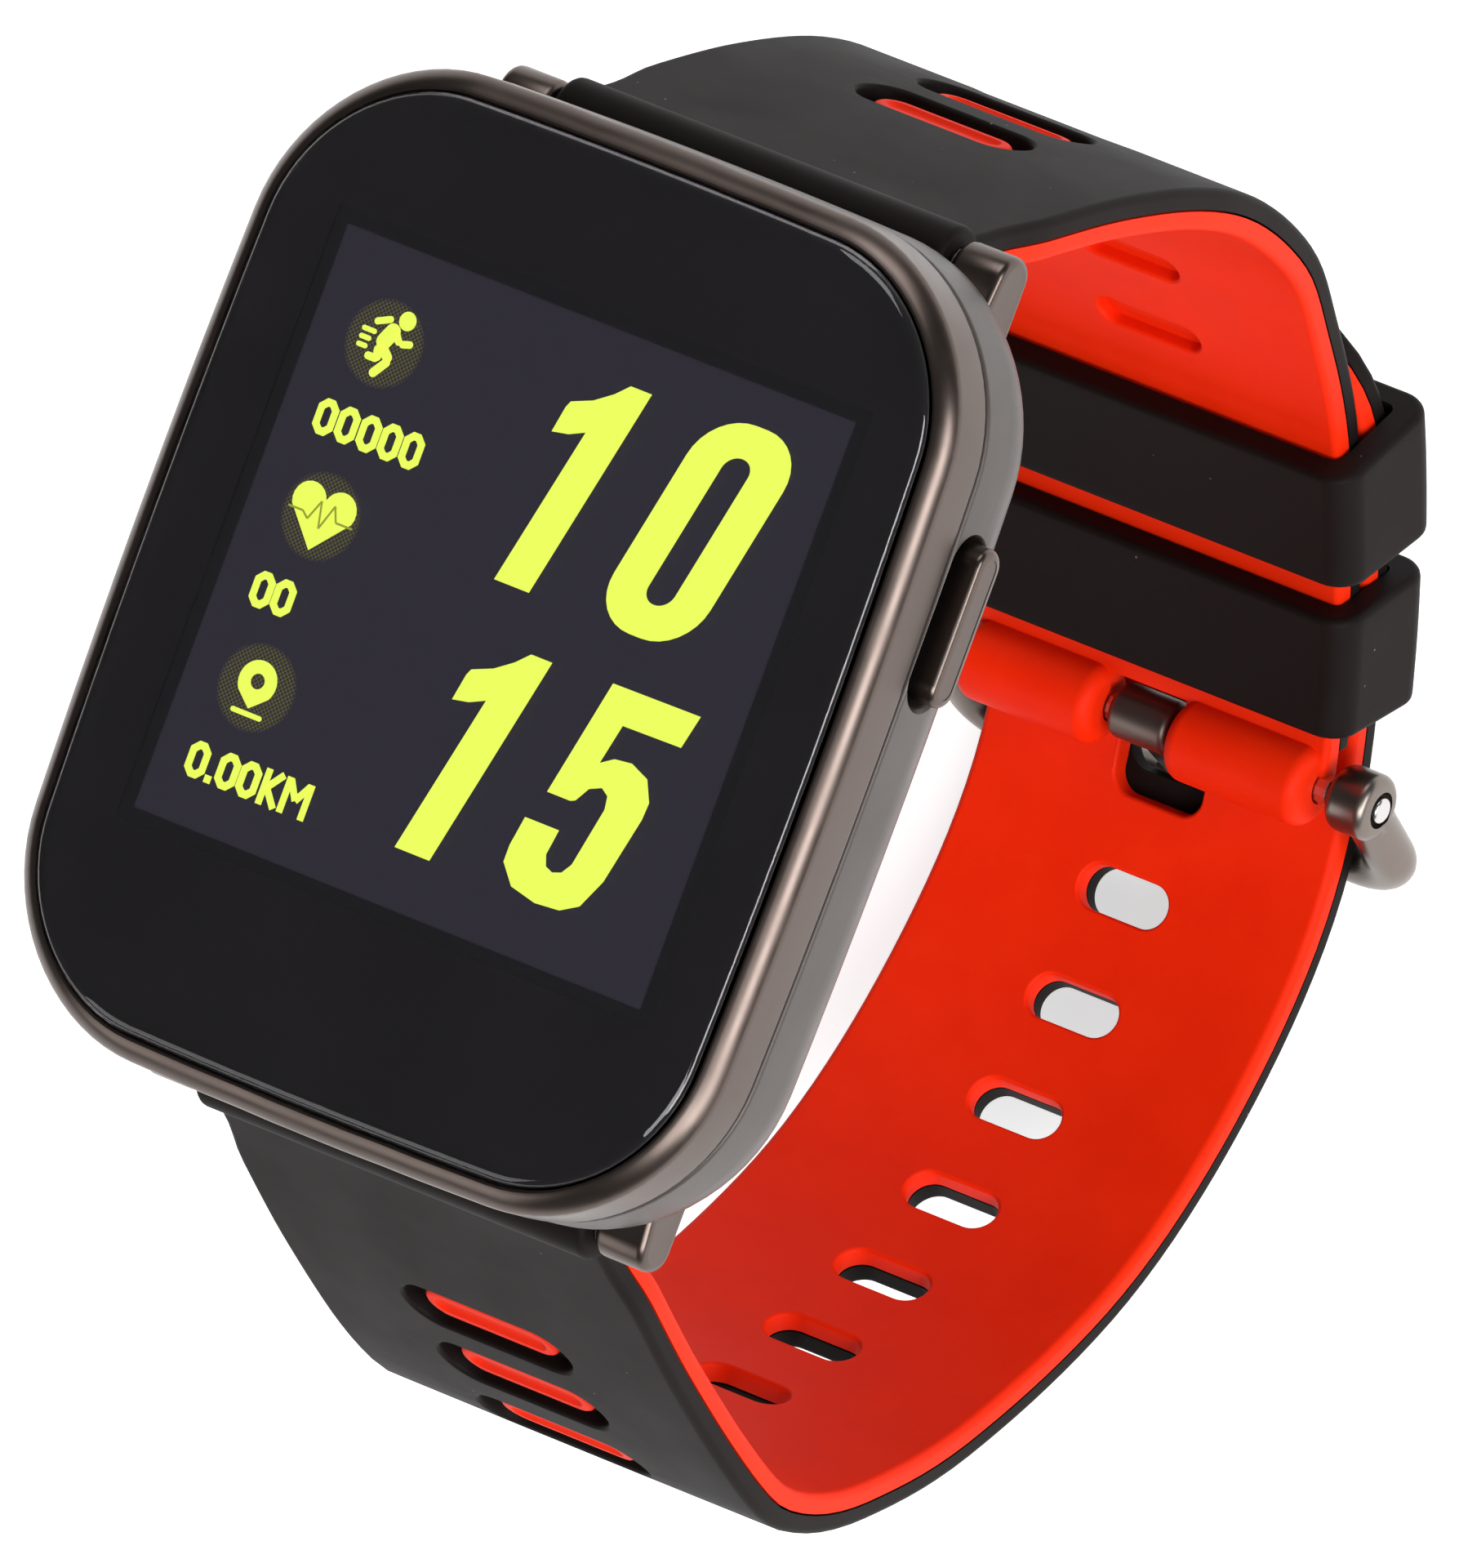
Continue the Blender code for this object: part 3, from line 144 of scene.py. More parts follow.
def bevel(width, segments, profile=0.5):
    bpy.ops.mesh.bevel(offset=width * MM, segments=segments, profile=profile, affect="EDGES")


def draw_in(width, depth=0.0):
    """Insets the picked faces by a width, and sinks or lifts them by a depth."""
    bpy.ops.mesh.inset(thickness=width * MM, depth=depth * MM)


def extrude(x, y, z):
    bpy.ops.mesh.extrude_region_move(TRANSFORM_OT_translate={"value": (x * MM, y * MM, z * MM)})


def resize(value, centre=(0, 0, 0)):
    bpy.ops.transform.resize(value=value, center_override=centre)


def pick_all():
    bpy.ops.mesh.select_all(action="SELECT")


def soft_rod(name, centre, radius, length, soft, segments):
    """A rod whose two end rims are rounded."""
    obj = rod(name, centre, radius, length)
    edit(obj)
    pick("edges", lambda e: e.calc_face_angle(0) > 1)
    bevel(soft, segments)
    done()
    return obj


print("helpers ready")

# %% [markdown]
# Every finished piece ends the same way: smooth shading that keeps true corners, one finish, and a
# word on what it rides with and which solid it stands for. `dress` does the little that a ready-made
# solid needs.

# %% Helper that finishes a piece
def finish(obj, body, look, *nodes, slot=None, angle=35):
    """Smooth shading, the finish, the body it moves with and the solids that it stands for."""
    only(obj)
    bpy.ops.object.shade_smooth_by_angle(angle=math.radians(angle))
    apply(obj, "WEIGHTED_NORMAL", keep_sharp=True, weight=80)
    obj.data.materials.clear()
    obj.data.materials.append(look)
    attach(obj, body)
    if nodes:
        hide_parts(*nodes)
    bpy.ops.object.select_all(action="DESELECT")
    print(obj.name, len(obj.data.polygons), "faces")
    return obj


def dress(node, look):
    """Give a ready-made solid a new finish, in every material slot of its object."""
    for held in node.material_slots:
        held.material = look


# %% [markdown]
# ## Surface effects as node groups
# Three effects come back in several finishes, so each is a node group: the fine grain of moulded
# rubber and plastic, the soft smudges and hairlines of things that are handled, and the few dust
# specks that a dark rubber strap always carries. A group gives out only heights and masks, and each
# material decides what to do with them.

# %% Helpers for building node trees
def new_group(name, inputs, outputs):
    group = bpy.data.node_groups.new(name, "ShaderNodeTree")
    for label, value in inputs.items():
        socket = group.interface.new_socket(label, in_out="INPUT", socket_type="NodeSocketFloat")
        socket.default_value = value
    for label in outputs:
        group.interface.new_socket(label, in_out="OUTPUT", socket_type="NodeSocketFloat")
    return group, group.nodes.new("NodeGroupInput"), group.nodes.new("NodeGroupOutput")


def add(tree, kind, **settings):
    """Adds a node, sets its properties, and sets its sockets where the value is a dict."""
    node = tree.nodes.new("ShaderNode" + kind)
    for key, value in settings.items():
        if key == "sockets":
            for socket, number in value.items():
                node.inputs[socket].default_value = number
        else:
            setattr(node, key, value)
    return node


def wire(tree, *links):
    """A link is two sockets, or a node and its output's name, then a node and its input's name."""
    for link in links:
        if len(link) == 4:
            source, given, target, taken = link
            link = source.outputs[given], target.inputs[taken]
        tree.links.new(*link)


print("node helpers ready")

# %% [markdown]
# Moulds are blasted or eroded, so what comes out of them has an even fine grain. Broad, weak patches
# go with it, where the material cooled a little differently.

# %% The grain of moulded rubber and plastic
def grain_group():
    tree, given, out = new_group("Moulded grain", {"Scale": 9000.0, "Detail": 3.0}, ("Height", "Patches"))
    place = add(tree, "TexCoord")
    fine = add(tree, "TexNoise", sockets={"Roughness": 0.6})
    broad = add(tree, "TexNoise", sockets={"Scale": 260.0, "Detail": 3.0, "Roughness": 0.55})
    wire(tree, (place, "Object", fine, "Vector"),
         (place, "Object", broad, "Vector"),
         (given, "Scale", fine, "Scale"),
         (given, "Detail", fine, "Detail"),
         (fine, "Fac", out, "Height"),
         (broad, "Fac", out, "Patches"))
    return tree


GRAIN = grain_group()
print(GRAIN.name, "built")

# %% [markdown]
# F
# i
# n
# g
# e
# r
# s
#  
# l
# e
# a
# v
# e
#  
# s
# o
# f
# t
#  
# s
# m
# u
# d
# g
# e
# s
#  
# a
# n
# d
#  
# s
# l
# e
# e
# v
# e
# s
#  
# l
# e
# a
# v
# e
#  
# h
# a
# i
# r
# l
# i
# n
# e
# s
# .
#  
# T
# h
# e
#  
# l
# i
# n
# e
# s
#  
# a
# r
# e
#  
# n
# o
# i
# s
# e
#  
# s
# t
# r
# e
# t
# c
# h
# e
# d
#  
# o
# n
# e
#  
# w
# a
# y
# .

# %% The smudges and hairlines of handled surfaces
def handling_group():
    tree, given, out = new_group("Handling marks", {"Smudge scale": 180.0, "Line scale": 900.0},
                                 ("Smudges", "Hairlines"))
    place = add(tree, "TexCoord")
    smudge = add(tree, "TexNoise", sockets={"Detail": 4.0, "Roughness": 0.6, "Distortion": 0.4})
    soften = add(tree, "MapRange", sockets={"From Min": 0.42, "From Max": 0.68})
    stretch = add(tree, "Mapping", sockets={"Rotation": (0.4, 0.2, 0.7), "Scale": (1.0, 14.0, 14.0)})
    lines = add(tree, "TexNoise", sockets={"Detail": 2.0, "Roughness": 0.7})
    thin = add(tree, "MapRange", sockets={"From Min": 0.60, "From Max": 0.66})
    wire(tree, (place, "Object", smudge, "Vector"),
         (given, "Smudge scale", smudge, "Scale"),
         (smudge, "Fac", soften, "Value"),
         (soften, "Result", out, "Smudges"),
         (place, "Object", stretch, "Vector"),
         (stretch, "Vector", lines, "Vector"),
         (given, "Line scale", lines, "Scale"),
         (lines, "Fac", thin, "Value"),
         (thin, "Result", out, "Hairlines"))
    return tree


HANDLING = handling_group()
print(HANDLING.name, "built")

# %% [markdown]
# Dust sits as tiny round specks, in some places and not in others. Cells give the specks and a
# broader noise says where they gather.

# %% The dust that rubber holds
def dust_group():
    tree, given, out = new_group("Dust specks", {"Scale": 700.0, "Size": 0.06}, ("Specks",))
    place = add(tree, "TexCoord")
    cells = add(tree, "TexVoronoi", sockets={"Randomness": 1.0})
    pick_some = add(tree, "Math", operation="LESS_THAN")
    sparse = add(tree, "TexNoise", sockets={"Scale": 420.0, "Detail": 1.0})
    where = add(tree, "MapRange", sockets={"From Min": 0.56, "From Max": 0.62})
    both = add(tree, "Math", operation="MULTIPLY")
    wire(tree, (place, "Object", cells, "Vector"),
         (place, "Object", sparse, "Vector"),
         (given, "Scale", cells, "Scale"),
         (cells, "Distance", pick_some, 0),
         (given, "Size", pick_some, 1),
         (sparse, "Fac", where, "Value"),
         (pick_some, 0, both, 0),
         (where, "Result", both, 1),
         (both, 0, out, "Specks"))
    return tree


DUST = dust_group()
print(DUST.name, "built")

# %% [markdown]
# ## Finishes
# Each finish is one Principled shader. What is the same all over, such as a metal's weight, is
# typed on the shader. What changes over the surface, such as where fingers left it a little duller,
# comes from the groups. Colours are linear values.

# %% A helper that starts every finish
def new_finish(name, colour, roughness, metallic=0.0, **sockets):
    look = bpy.data.materials.new(name)
    look.use_nodes = True
    shader = look.node_tree.nodes["Principled BSDF"]
    shader.inputs["Base Color"].default_value = (*colour, 1.0)
    shader.inputs["Roughness"].default_value = roughness
    shader.inputs["Metallic"].default_value = metallic
    for label, value in sockets.items():
        shader.inputs[label.replace("_", " ")].default_value = value
    return look, look.node_tree, shader


def use(tree, group, **values):
    node = tree.nodes.new("ShaderNodeGroup")
    node.node_tree = group
    for label, value in values.items():
        node.inputs[label.replace("_", " ")].default_value = value
    return node


def vary(tree, mask, low, high, socket):
    """A shader value that runs from low to high with a mask."""
    spread = add(tree, "MapRange", sockets={"To Min": low, "To Max": high})
    wire(tree, (mask, spread.inputs["Value"]), (spread.outputs["Result"], socket))


def tint(tree, mask, first, second, socket):
    """A colour that runs from the first to the second with a mask; the first may be a socket."""
    mix = add(tree, "Mix", data_type="RGBA")
    ends = {end.name: end for end in mix.inputs if end.type == "RGBA"}
    ends["B"].default_value = (*second, 1.0)
    if isinstance(first, tuple):
        ends["A"].default_value = (*first, 1.0)
    else:
        wire(tree, (first, ends["A"]))
    result = [end for end in mix.outputs if end.type == "RGBA"][0]
    wire(tree, (mask, mix.inputs["Factor"]), (result, socket))
    return result


def rough_up(tree, height, shader, strength, distance):
    """Raises the surface by a height, through a Bump node."""
    bump = add(tree, "Bump", sockets={"Strength": strength, "Distance": distance * MM})
    wire(tree, (height, bump.inputs["Height"]), (bump, "Normal", shader, "Normal"))
    return bump


print("finish helpers ready")

# %% [markdown]
# ### Silicone
# Both straps are moulded silicone: a warm black and a hot orange red. Silicone is soft to the
# touch, so its gloss is broad and weak, the surface has a very fine grain, and dust clings to it.
# The grain could be a texture picture, but noise in object space needs no unwrapping and stays
# sharp at any distance.

# %% Silicone finishes
DUST_COLOUR = (0.5, 0.45, 0.4)


def silicone(name, colour, deeper, roughness, dust_amount):
    look, tree, shader = new_finish(name, colour, roughness, IOR=1.41, Specular_IOR_Level=0.12)
    grain = use(tree, GRAIN, Scale=11000.0, Detail=2.0)
    base = tint(tree, grain.outputs["Patches"], deeper, colour, shader.inputs["Base Color"])
    specks = use(tree, DUST, Scale=900.0, Size=0.05)
    fade = add(tree, "Math", operation="MULTIPLY", sockets={1: dust_amount})
    wire(tree, (specks, "Specks", fade, 0))
    tint(tree, fade.outputs[0], base, DUST_COLOUR, shader.inputs["Base Color"])
    vary(tree, grain.outputs["Patches"], roughness - 0.06, roughness + 0.08, shader.inputs["Roughness"])
    rough_up(tree, grain.outputs["Height"], shader, 0.18, 0.03)
    return look


BLACK_SILICONE = silicone("black_silicone", (0.0080, 0.0052, 0.0046), (0.0058, 0.0038, 0.0034), 0.56, 0.30)
ORANGE_SILICONE = silicone("orange_silicone", (0.860, 0.027, 0.002), (0.740, 0.016, 0.001), 0.52, 0.0)
print("silicones ready")

# %% [markdown]
# ### Metal
# The bezel, the lugs, the button and the buckle share one dark plating over steel. It is smooth, so
# it mirrors the lights, and only faint smudges and hairlines break that mirror. The spring bars and
# screws are plain steel, turned on a lathe, so theirs is brighter and a little rougher.

# %% Metal finishes
def plated(name, colour, roughness, hairline):
    look, tree, shader = new_finish(name, colour, roughness, 1.0)
    marks = use(tree, HANDLING, Smudge_scale=150.0, Line_scale=1600.0)
    vary(tree, marks.outputs["Smudges"], roughness, roughness + 0.10, shader.inputs["Roughness"])
    rough_up(tree, marks.outputs["Hairlines"], shader, hairline, 0.004)
    return look


GUNMETAL = plated("gunmetal_plating", (0.112, 0.088, 0.078), 0.28, 0.05)
BUCKLE_METAL = plated("buckle_plating", (0.20, 0.175, 0.155), 0.30, 0.08)
TONGUE_METAL = plated("tongue_plating", (0.15, 0.125, 0.112), 0.42, 0.10)
STEEL = plated("turned_steel", (0.60, 0.59, 0.58), 0.24, 0.20)
print("metals ready")

# %% [markdown]
# ### Plastic, glass and gold
# The mid case is a glass-filled plastic with a fine spark-eroded texture, and the back cover is its
# black brother. The sensor window is a smoked disc. Contact pins are gold plated, so they are warm
# and clean. The cover glass is real glass here: light goes through it to the display, and its black
# print is a separate thin layer underneath, as on the real one.

# %% Plastic finishes
def textured(name, colour, deeper, roughness, grain_scale, strength):
    look, tree, shader = new_finish(name, colour, roughness)
    grain = use(tree, GRAIN, Scale=grain_scale, Detail=4.0)
    marks = use(tree, HANDLING, Smudge_scale=120.0)
    tint(tree, grain.outputs["Patches"], deeper, colour, shader.inputs["Base Color"])
    vary(tree, marks.outputs["Smudges"], roughness, roughness - 0.10, shader.inputs["Roughness"])
    rough_up(tree, grain.outputs["Height"], shader, strength, 0.03)
    return look


CASE_PLASTIC = textured("case_plastic", (0.052, 0.041, 0.036), (0.042, 0.033, 0.029), 0.42, 8000.0, 0.22)
BACK_PLASTIC = textured("back_plastic", (0.020, 0.019, 0.020), (0.015, 0.0145, 0.015), 0.46, 6500.0, 0.30)
SEAL_RUBBER = textured("seal_rubber", (0.012, 0.012, 0.012), (0.010, 0.010, 0.010), 0.75, 9000.0, 0.20)
print("plastics ready")

# %% [markdown]
# T
# h
# e
#  
# g
# l
# a
# s
# s
#  
# n
# e
# e
# d
# s
#  
# n
# o
#  
# p
# a
# t
# t
# e
# r
# n
#  
# a
# t
#  
# a
# l
# l
# .
#  
# T
# h
# e
#  
# p
# r
# i
# n
# t
#  
# i
# s
#  
# a
# s
#  
# m
# a
# t
# t
#  
# a
# s
#  
# i
# n
# k
# ,
#  
# a
# n
# d
#  
# g
# o
# l
# d
#  
# t
# a
# k
# e
# s
#  
# t
# h
# e
#  
# p
# l
# a
# t
# e
# d
#  
# r
# e
# c
# i
# p
# e
# .

# %% Glass, print and gold finishes
COVER_GLASS, _, _ = new_finish("cover_glass", (0.96, 0.92, 0.97), 0.0, Transmission_Weight=1.0, IOR=1.5)
GLASS_PRINT = textured("glass_print", (0.0045, 0.0036, 0.0042), (0.004, 0.0032, 0.0038), 0.45, 7000.0, 0.02)
GOLD = plated("contact_gold", (0.95, 0.70, 0.32), 0.16, 0.05)
print("glass and gold ready")

# %% [markdown]
# ### The sensor window
# The optical sensor looks through a dark round window. A ring of small lamps and one bright square
# detector can be made out behind it. They lie flat, so they are painted as masks in object space
# instead of modelled: a square is where both distances from its middle are small.

# %% Sensor window finish
LAMPS = ((0, 0, 1.5), (4.2, 0, 0.8), (-4.2, 0, 0.8), (0, 4.2, 0.8), (0, -4.2, 0.8))  # x, y, half a side


def square_reach(tree, place, x, y):
    """The larger of a point's two distances from a square's middle."""
    shift = add(tree, "Mapping", sockets={"Location": (-x * MM, -y * MM, 0)})
    away = add(tree, "VectorMath", operation="ABSOLUTE")
    parts = add(tree, "SeparateXYZ")
    widest = add(tree, "Math", operation="MAXIMUM")
    wire(tree, (place, "Object", shift, "Vector"), (shift, "Vector", away, 0),
         (away, "Vector", parts, 0), (parts, "X", widest, 0), (parts, "Y", widest, 1))
    return widest


def either(tree, masks):
    """The strongest of several masks."""
    total = masks[0]
    for mask in masks[1:]:
        join = add(tree, "Math", operation="MAXIMUM")
        wire(tree, (total, join.inputs[0]), (mask, join.inputs[1]))
        total = join.outputs[0]
    return total


def sensor_look():
    look, tree, shader = new_finish("sensor_glass", (0.006, 0.006, 0.008), 0.06,
                                    Coat_Weight=0.6, Coat_Roughness=0.03)
    place = add(tree, "TexCoord")
    masks = []
    for x, y, half in LAMPS:
        widest = square_reach(tree, place, x, y)
        inside = add(tree, "Math", operation="LESS_THAN", sockets={1: half * MM})
        wire(tree, (widest, 0, inside, 0))
        masks.append(inside.outputs[0])
    tint(tree, either(tree, masks), (0.006, 0.006, 0.008), (0.055, 0.075, 0.05),
         shader.inputs["Base Color"])
    return look


SENSOR_GLASS = sensor_look()
print("sensor window ready")

# %% [markdown]
# ### The lit display
# The panel glows a dark blue grey over a square, with a fine grid of dots, and is black round it.
# Behind each of the three little pictures sits a round dim halo made of every second dot. The
# square and the halos are masks from object space, and a checker as fine as the panel's own dots
# gives both the grid and the dither.

# %% Display finish
DISPLAY_MIDDLE = (0.0, 1.15)
LIT_HALF, LIT_EDGE = 13.85, 0.04
PANEL_Z, DOT = 10.75, 0.1154
HALOS, HALO_RADIUS, HALO_EDGE = ((-10.0, 9.45), (-10.0, 1.25), (-10.05, -6.90)), 1.95, 0.12


def halo_mask(tree, place, x, y):
    away = add(tree, "VectorMath", operation="DISTANCE")
    away.inputs[1].default_value = ((DISPLAY_MIDDLE[0] + x) * MM, (DISPLAY_MIDDLE[1] + y) * MM, PANEL_Z * MM)
    edge = add(tree, "MapRange", sockets={"From Min": (HALO_RADIUS + HALO_EDGE) * MM,
                                          "From Max": (HALO_RADIUS - HALO_EDGE) * MM})
    wire(tree, (place, "Object", away, 0), (away, "Value", edge, "Value"))
    return edge.outputs["Result"]


def display_look():
    look, tree, shader = new_finish("lit_display", (0.004, 0.004, 0.005), 0.25, Emission_Strength=1.0)
    place = add(tree, "TexCoord")
    widest = square_reach(tree, place, *DISPLAY_MIDDLE)
    square = add(tree, "MapRange", sockets={"From Min": (LIT_HALF + LIT_EDGE) * MM,
                                            "From Max": (LIT_HALF - LIT_EDGE) * MM})
    dots = add(tree, "TexChecker", sockets={"Scale": 1 / (DOT * MM)})
    grid = add(tree, "MapRange", sockets={"To Min": 0.92, "To Max": 1.0})
    lit = add(tree, "Math", operation="MULTIPLY")
    dither = add(tree, "Math", operation="MULTIPLY")
    halos = either(tree, [halo_mask(tree, place, x, y) for x, y in HALOS])
    wire(tree, (widest, 0, square, "Value"), (place, "Object", dots, "Vector"),
         (dots, "Fac", grid, "Value"), (square, "Result", lit, 0), (grid, "Result", lit, 1),
         (halos, dither.inputs[0]), (dots, "Fac", dither, 1))
    glow = tint(tree, lit.outputs[0], (0.0012, 0.0010, 0.0014), (0.0200, 0.0185, 0.0290),
                shader.inputs["Emission Color"])
    tint(tree, dither.outputs[0], glow, (0.092, 0.088, 0.030), shader.inputs["Emission Color"])
    return look


LIT_DISPLAY = display_look()
LIME, _, _ = new_finish("lime_light", (0.10, 0.12, 0.02), 0.4, Emission_Color=(0.80, 1.0, 0.100, 1.0),
                        Emission_Strength=1.12)
OLIVE, _, _ = new_finish("olive_light", (0.05, 0.05, 0.01), 0.4, Emission_Color=(0.30, 0.36, 0.03, 1.0),
                         Emission_Strength=1.0)
print("display ready")

# %% [markdown]
# ## The head
# Seen from above the head is a rounded rectangle whose sides bow out a little. Every shell of it
# (bezel, mid case, glass) has that outline, only drawn in by a different amount. So one helper
# makes a plate of the outline: a block, its four upright edges bevelled round, its long sides
# subdivided, and then each row of points scaled one by one so that the sides bow.

# %% A plate with the head's outline
CASE_WIDTH, CASE_LENGTH, CASE_CORNER = 38.4, 47.0, 9.0
SIDE_BOW, END_BOW = 0.6, 0.5  # how much narrower it is at its ends


def bow_rows(axis, half_across, half_along, amount):
    """Scales each row of points along one axis, so that the sides curve inwards to the ends."""
    data = bpy.context.edit_object.data
    mesh = bmesh.from_edit_mesh(data)
    other = 1 - axis
    for row in sorted({round(abs(v.co[other]) / MM, 3) for v in mesh.verts}):
        pick("verts", lambda v: abs(abs(v.co[other]) / MM - row) < 0.002)
        value = [1, 1, 1]
        value[axis] = 1 - amount / half_across * (row / half_along) ** 2
        resize(value)


def head_plate(name, inset, low, high):
    half_x, half_y = CASE_WIDTH / 2 - inset, CASE_LENGTH / 2 - inset
    plate = block(name, (-half_x, -half_y, low), (half_x, half_y, high))
    edit(plate)
    pick("edges", lambda e: abs(e.verts[0].co.z - e.verts[1].co.z) > (high - low) / 2 * MM)
    bevel(CASE_CORNER - inset, 18)
    pick("edges", lambda e: e.calc_length() > 8 * MM)
    bpy.ops.mesh.subdivide(number_cuts=9)
    bow_rows(0, CASE_WIDTH / 2, CASE_LENGTH / 2, SIDE_BOW)
    bow_rows(1, CASE_LENGTH / 2, CASE_WIDTH / 2, END_BOW)
    return plate


print("outline helper ready")

# %% [markdown]
# ## Bezel ring
# The bezel is a metal ring with a round shoulder, and the glass sinks into it. From a plate: bevel
# the top rim for the shoulder, inset the top face for the lip, push it down for the ledge, inset
# once more, and bridge that loop to one on the underside so the middle is open.

# %% Bezel ring
PARTING, LEDGE, BEZEL_TOP = 8.0, 10.35, 11.45
PART_GAP = 0.12  # each shell stops this far from the parting line
LIP = 0.08  # how far the lip round the glass steps down
BROAD = 1e-4  # square metres: more than any rim face has


def face_up(z):
    """The broad face that closes a plate at a height."""
    return lambda f: f.normal.z > 0.9 and abs(middle(f).z / MM - z) < 0.02 and f.calc_area() > BROAD


def face_down(z):
    return lambda f: f.normal.z < -0.9 and abs(middle(f).z / MM - z) < 0.02 and f.calc_area() > BROAD


def rim(z):
    """Edges of the outline at a height."""
    return lambda e: (all(abs(v.co.z / MM - z) < 0.01 for v in e.verts) and len(e.link_faces) == 2
                      and e.calc_face_angle(0) > 0.8)


bezel = head_plate("bezel", 0.0, PARTING + PART_GAP, BEZEL_TOP)
pick("edges", rim(BEZEL_TOP))
bevel(0.92, 10, profile=0.36)
pick("edges", rim(PARTING + PART_GAP))
bevel(0.28, 3)
pick("faces", face_up(BEZEL_TOP))
draw_in(0.11, -0.02)
draw_in(0.03, -0.06)
draw_in(0, -(BEZEL_TOP - LIP - LEDGE))
draw_in(1.3)
done()
print("ledge at", LEDGE, "mm")

# %% [markdown]
# The lens opening is made last: the ledge and the underside lose their middles, and a bridge between
# the two open loops becomes the inner wall.

# %% Open the middle of the bezel
edit(bezel)
pick("faces", face_up(LEDGE - 0.01))
bpy.ops.mesh.delete(type="FACE")
pick("faces", face_down(PARTING + PART_GAP))
draw_in(1.6)
bpy.ops.mesh.delete(type="FACE")
pick("edges", lambda e: e.is_boundary)
bpy.ops.mesh.bridge_edge_loops()
done()
finish(bezel, "watch", GUNMETAL, "bezel_ring", slot="gunmetal", angle=30)

# %% [markdown]
# ## Mid case
# Below the parting line the case is straight for a little way and then tucks in towards the wrist,
# so the head looks thinner than it is. Insetting the bottom face with a depth, several times over,
# walks down that curve. The underside gets a shallow recess for the back cover.

# %% Mid case shell
STRAIGHT = 5.6  # the wall tucks in below this
TUCK = ((0.02, 0.5), (0.10, 0.6), (0.22, 0.6), (0.40, 0.6), (0.55, 0.65), (0.62, 0.65), (0.52, 0.45),
        (0.45, 0.32), (0.32, 0.18), (0.22, 0.05))  # inwards and down, step by step
mid = head_plate("mid_shell", 0.06, STRAIGHT, PARTING - PART_GAP)
pick("edges", rim(PARTING - PART_GAP))
bevel(0.22, 3)
pick("faces", face_down(STRAIGHT))
for inwards, down in TUCK:
    draw_in(inwards, down)
draw_in(0.48)
draw_in(0, -1.5)
draw_in(1.0)
bpy.ops.mesh.delete(type="FACE")
pick("faces", lambda f: f.normal.z > 0.9 and f.calc_area() > BROAD)
draw_in(1.8)
draw_in(0, -3.6)
draw_in(3.2)
bpy.ops.mesh.delete(type="FACE")
pick("edges", lambda e: e.is_boundary)
bpy.ops.mesh.bridge_edge_loops()
done()
print("foot of the case at", round(STRAIGHT - sum(down for _, down in TUCK), 2), "mm")

# %% [markdown]
# ### Pocket for the button and room for the strap
# The button sits in a pocket of its own shape. A cutter shaped like the button but a little larger,
# flared where it leaves the wall, gives the pocket a soft rim. A long rod cuts the hollow that the
# strap's round end turns in.

# %% Stadium solid, the shape of the button and of the slots
def stadium(name, low, high, along, across, corner=None):
    """A block whose narrow ends are rounded; along and across are the axes 0 to 2 of its length and depth."""
    solid = block(name, low, high)
    height = 3 - along - across
    radius = corner or (high[height] - low[height]) / 2
    edit(solid)
    pick("edges", lambda e: abs((e.verts[0].co - e.verts[1].co).normalized()[across]) > 0.9)
    bevel(radius * 0.999, 10)
    pick_all()
    bpy.ops.mesh.remove_doubles(threshold=0.004 * MM)
    return solid


BUTTON_Y, BUTTON_Z = 8.0, 6.3
BAR_Y, BAR_Z = 22.8, 1.6  # where the lugs' spring bars are
pocket = stadium("pocket", (17.2, BUTTON_Y - 4.05, BUTTON_Z - 1.40),
                 (18.75, BUTTON_Y + 4.05, BUTTON_Z + 1.40), 1, 0)
pick("faces", lambda f: f.normal.x > 0.9)
centre = (0, BUTTON_Y * MM, BUTTON_Z * MM)
for out, grow in ((0.10, 1.005), (0.12, 1.015), (0.13, 1.03), (0.5, 1.05)):
    extrude(out, 0, 0)
    resize((1, grow, 1 + (grow - 1) * 2.4), centre)
done()
cut(mid, pocket)
for side in (1, -1):
    cut(mid, rod("strap_hollow", (0, side * BAR_Y, BAR_Z), 1.95, 22.2))
finish(mid, "watch", CASE_PLASTIC, "mid_case", slot="case_polymer", angle=32)

# %% [markdown]
# ## Button
# The button is a small plated stadium that stands 0.9 mm proud, with a rounded edge and a shallow
# dish along its face. It rides on its own body, because it can be pressed.

# %% Button
BUTTON_FACE = 20.03
button = stadium("side_button", (17.8, BUTTON_Y - 3.75, BUTTON_Z - 1.2),
                 (BUTTON_FACE, BUTTON_Y + 3.75, BUTTON_Z + 0.78), 1, 0)
near_face = (BUTTON_FACE - 0.03) * MM
pick("edges", lambda e: all(v.co.x > near_face for v in e.verts) and e.calc_face_angle(0) > 0.8)
bevel(0.34, 5)
pick("faces", lambda f: f.normal.x > 0.98 and middle(f).x > near_face)
draw_in(0.20, -0.02)
draw_in(0.20, -0.01)
done()
finish(button, "button", GUNMETAL, "button", slot="gunmetal", angle=30)

# %% [markdown]
# ## Cover glass and its print
# The glass is a clear plate with a softly rounded rim, the kind called 2.5D. Black print covers its
# underside except for a window over the display. Making the print a separate sheet, and not a dark
# glass, is what lets the lit square sit visibly below the surface.

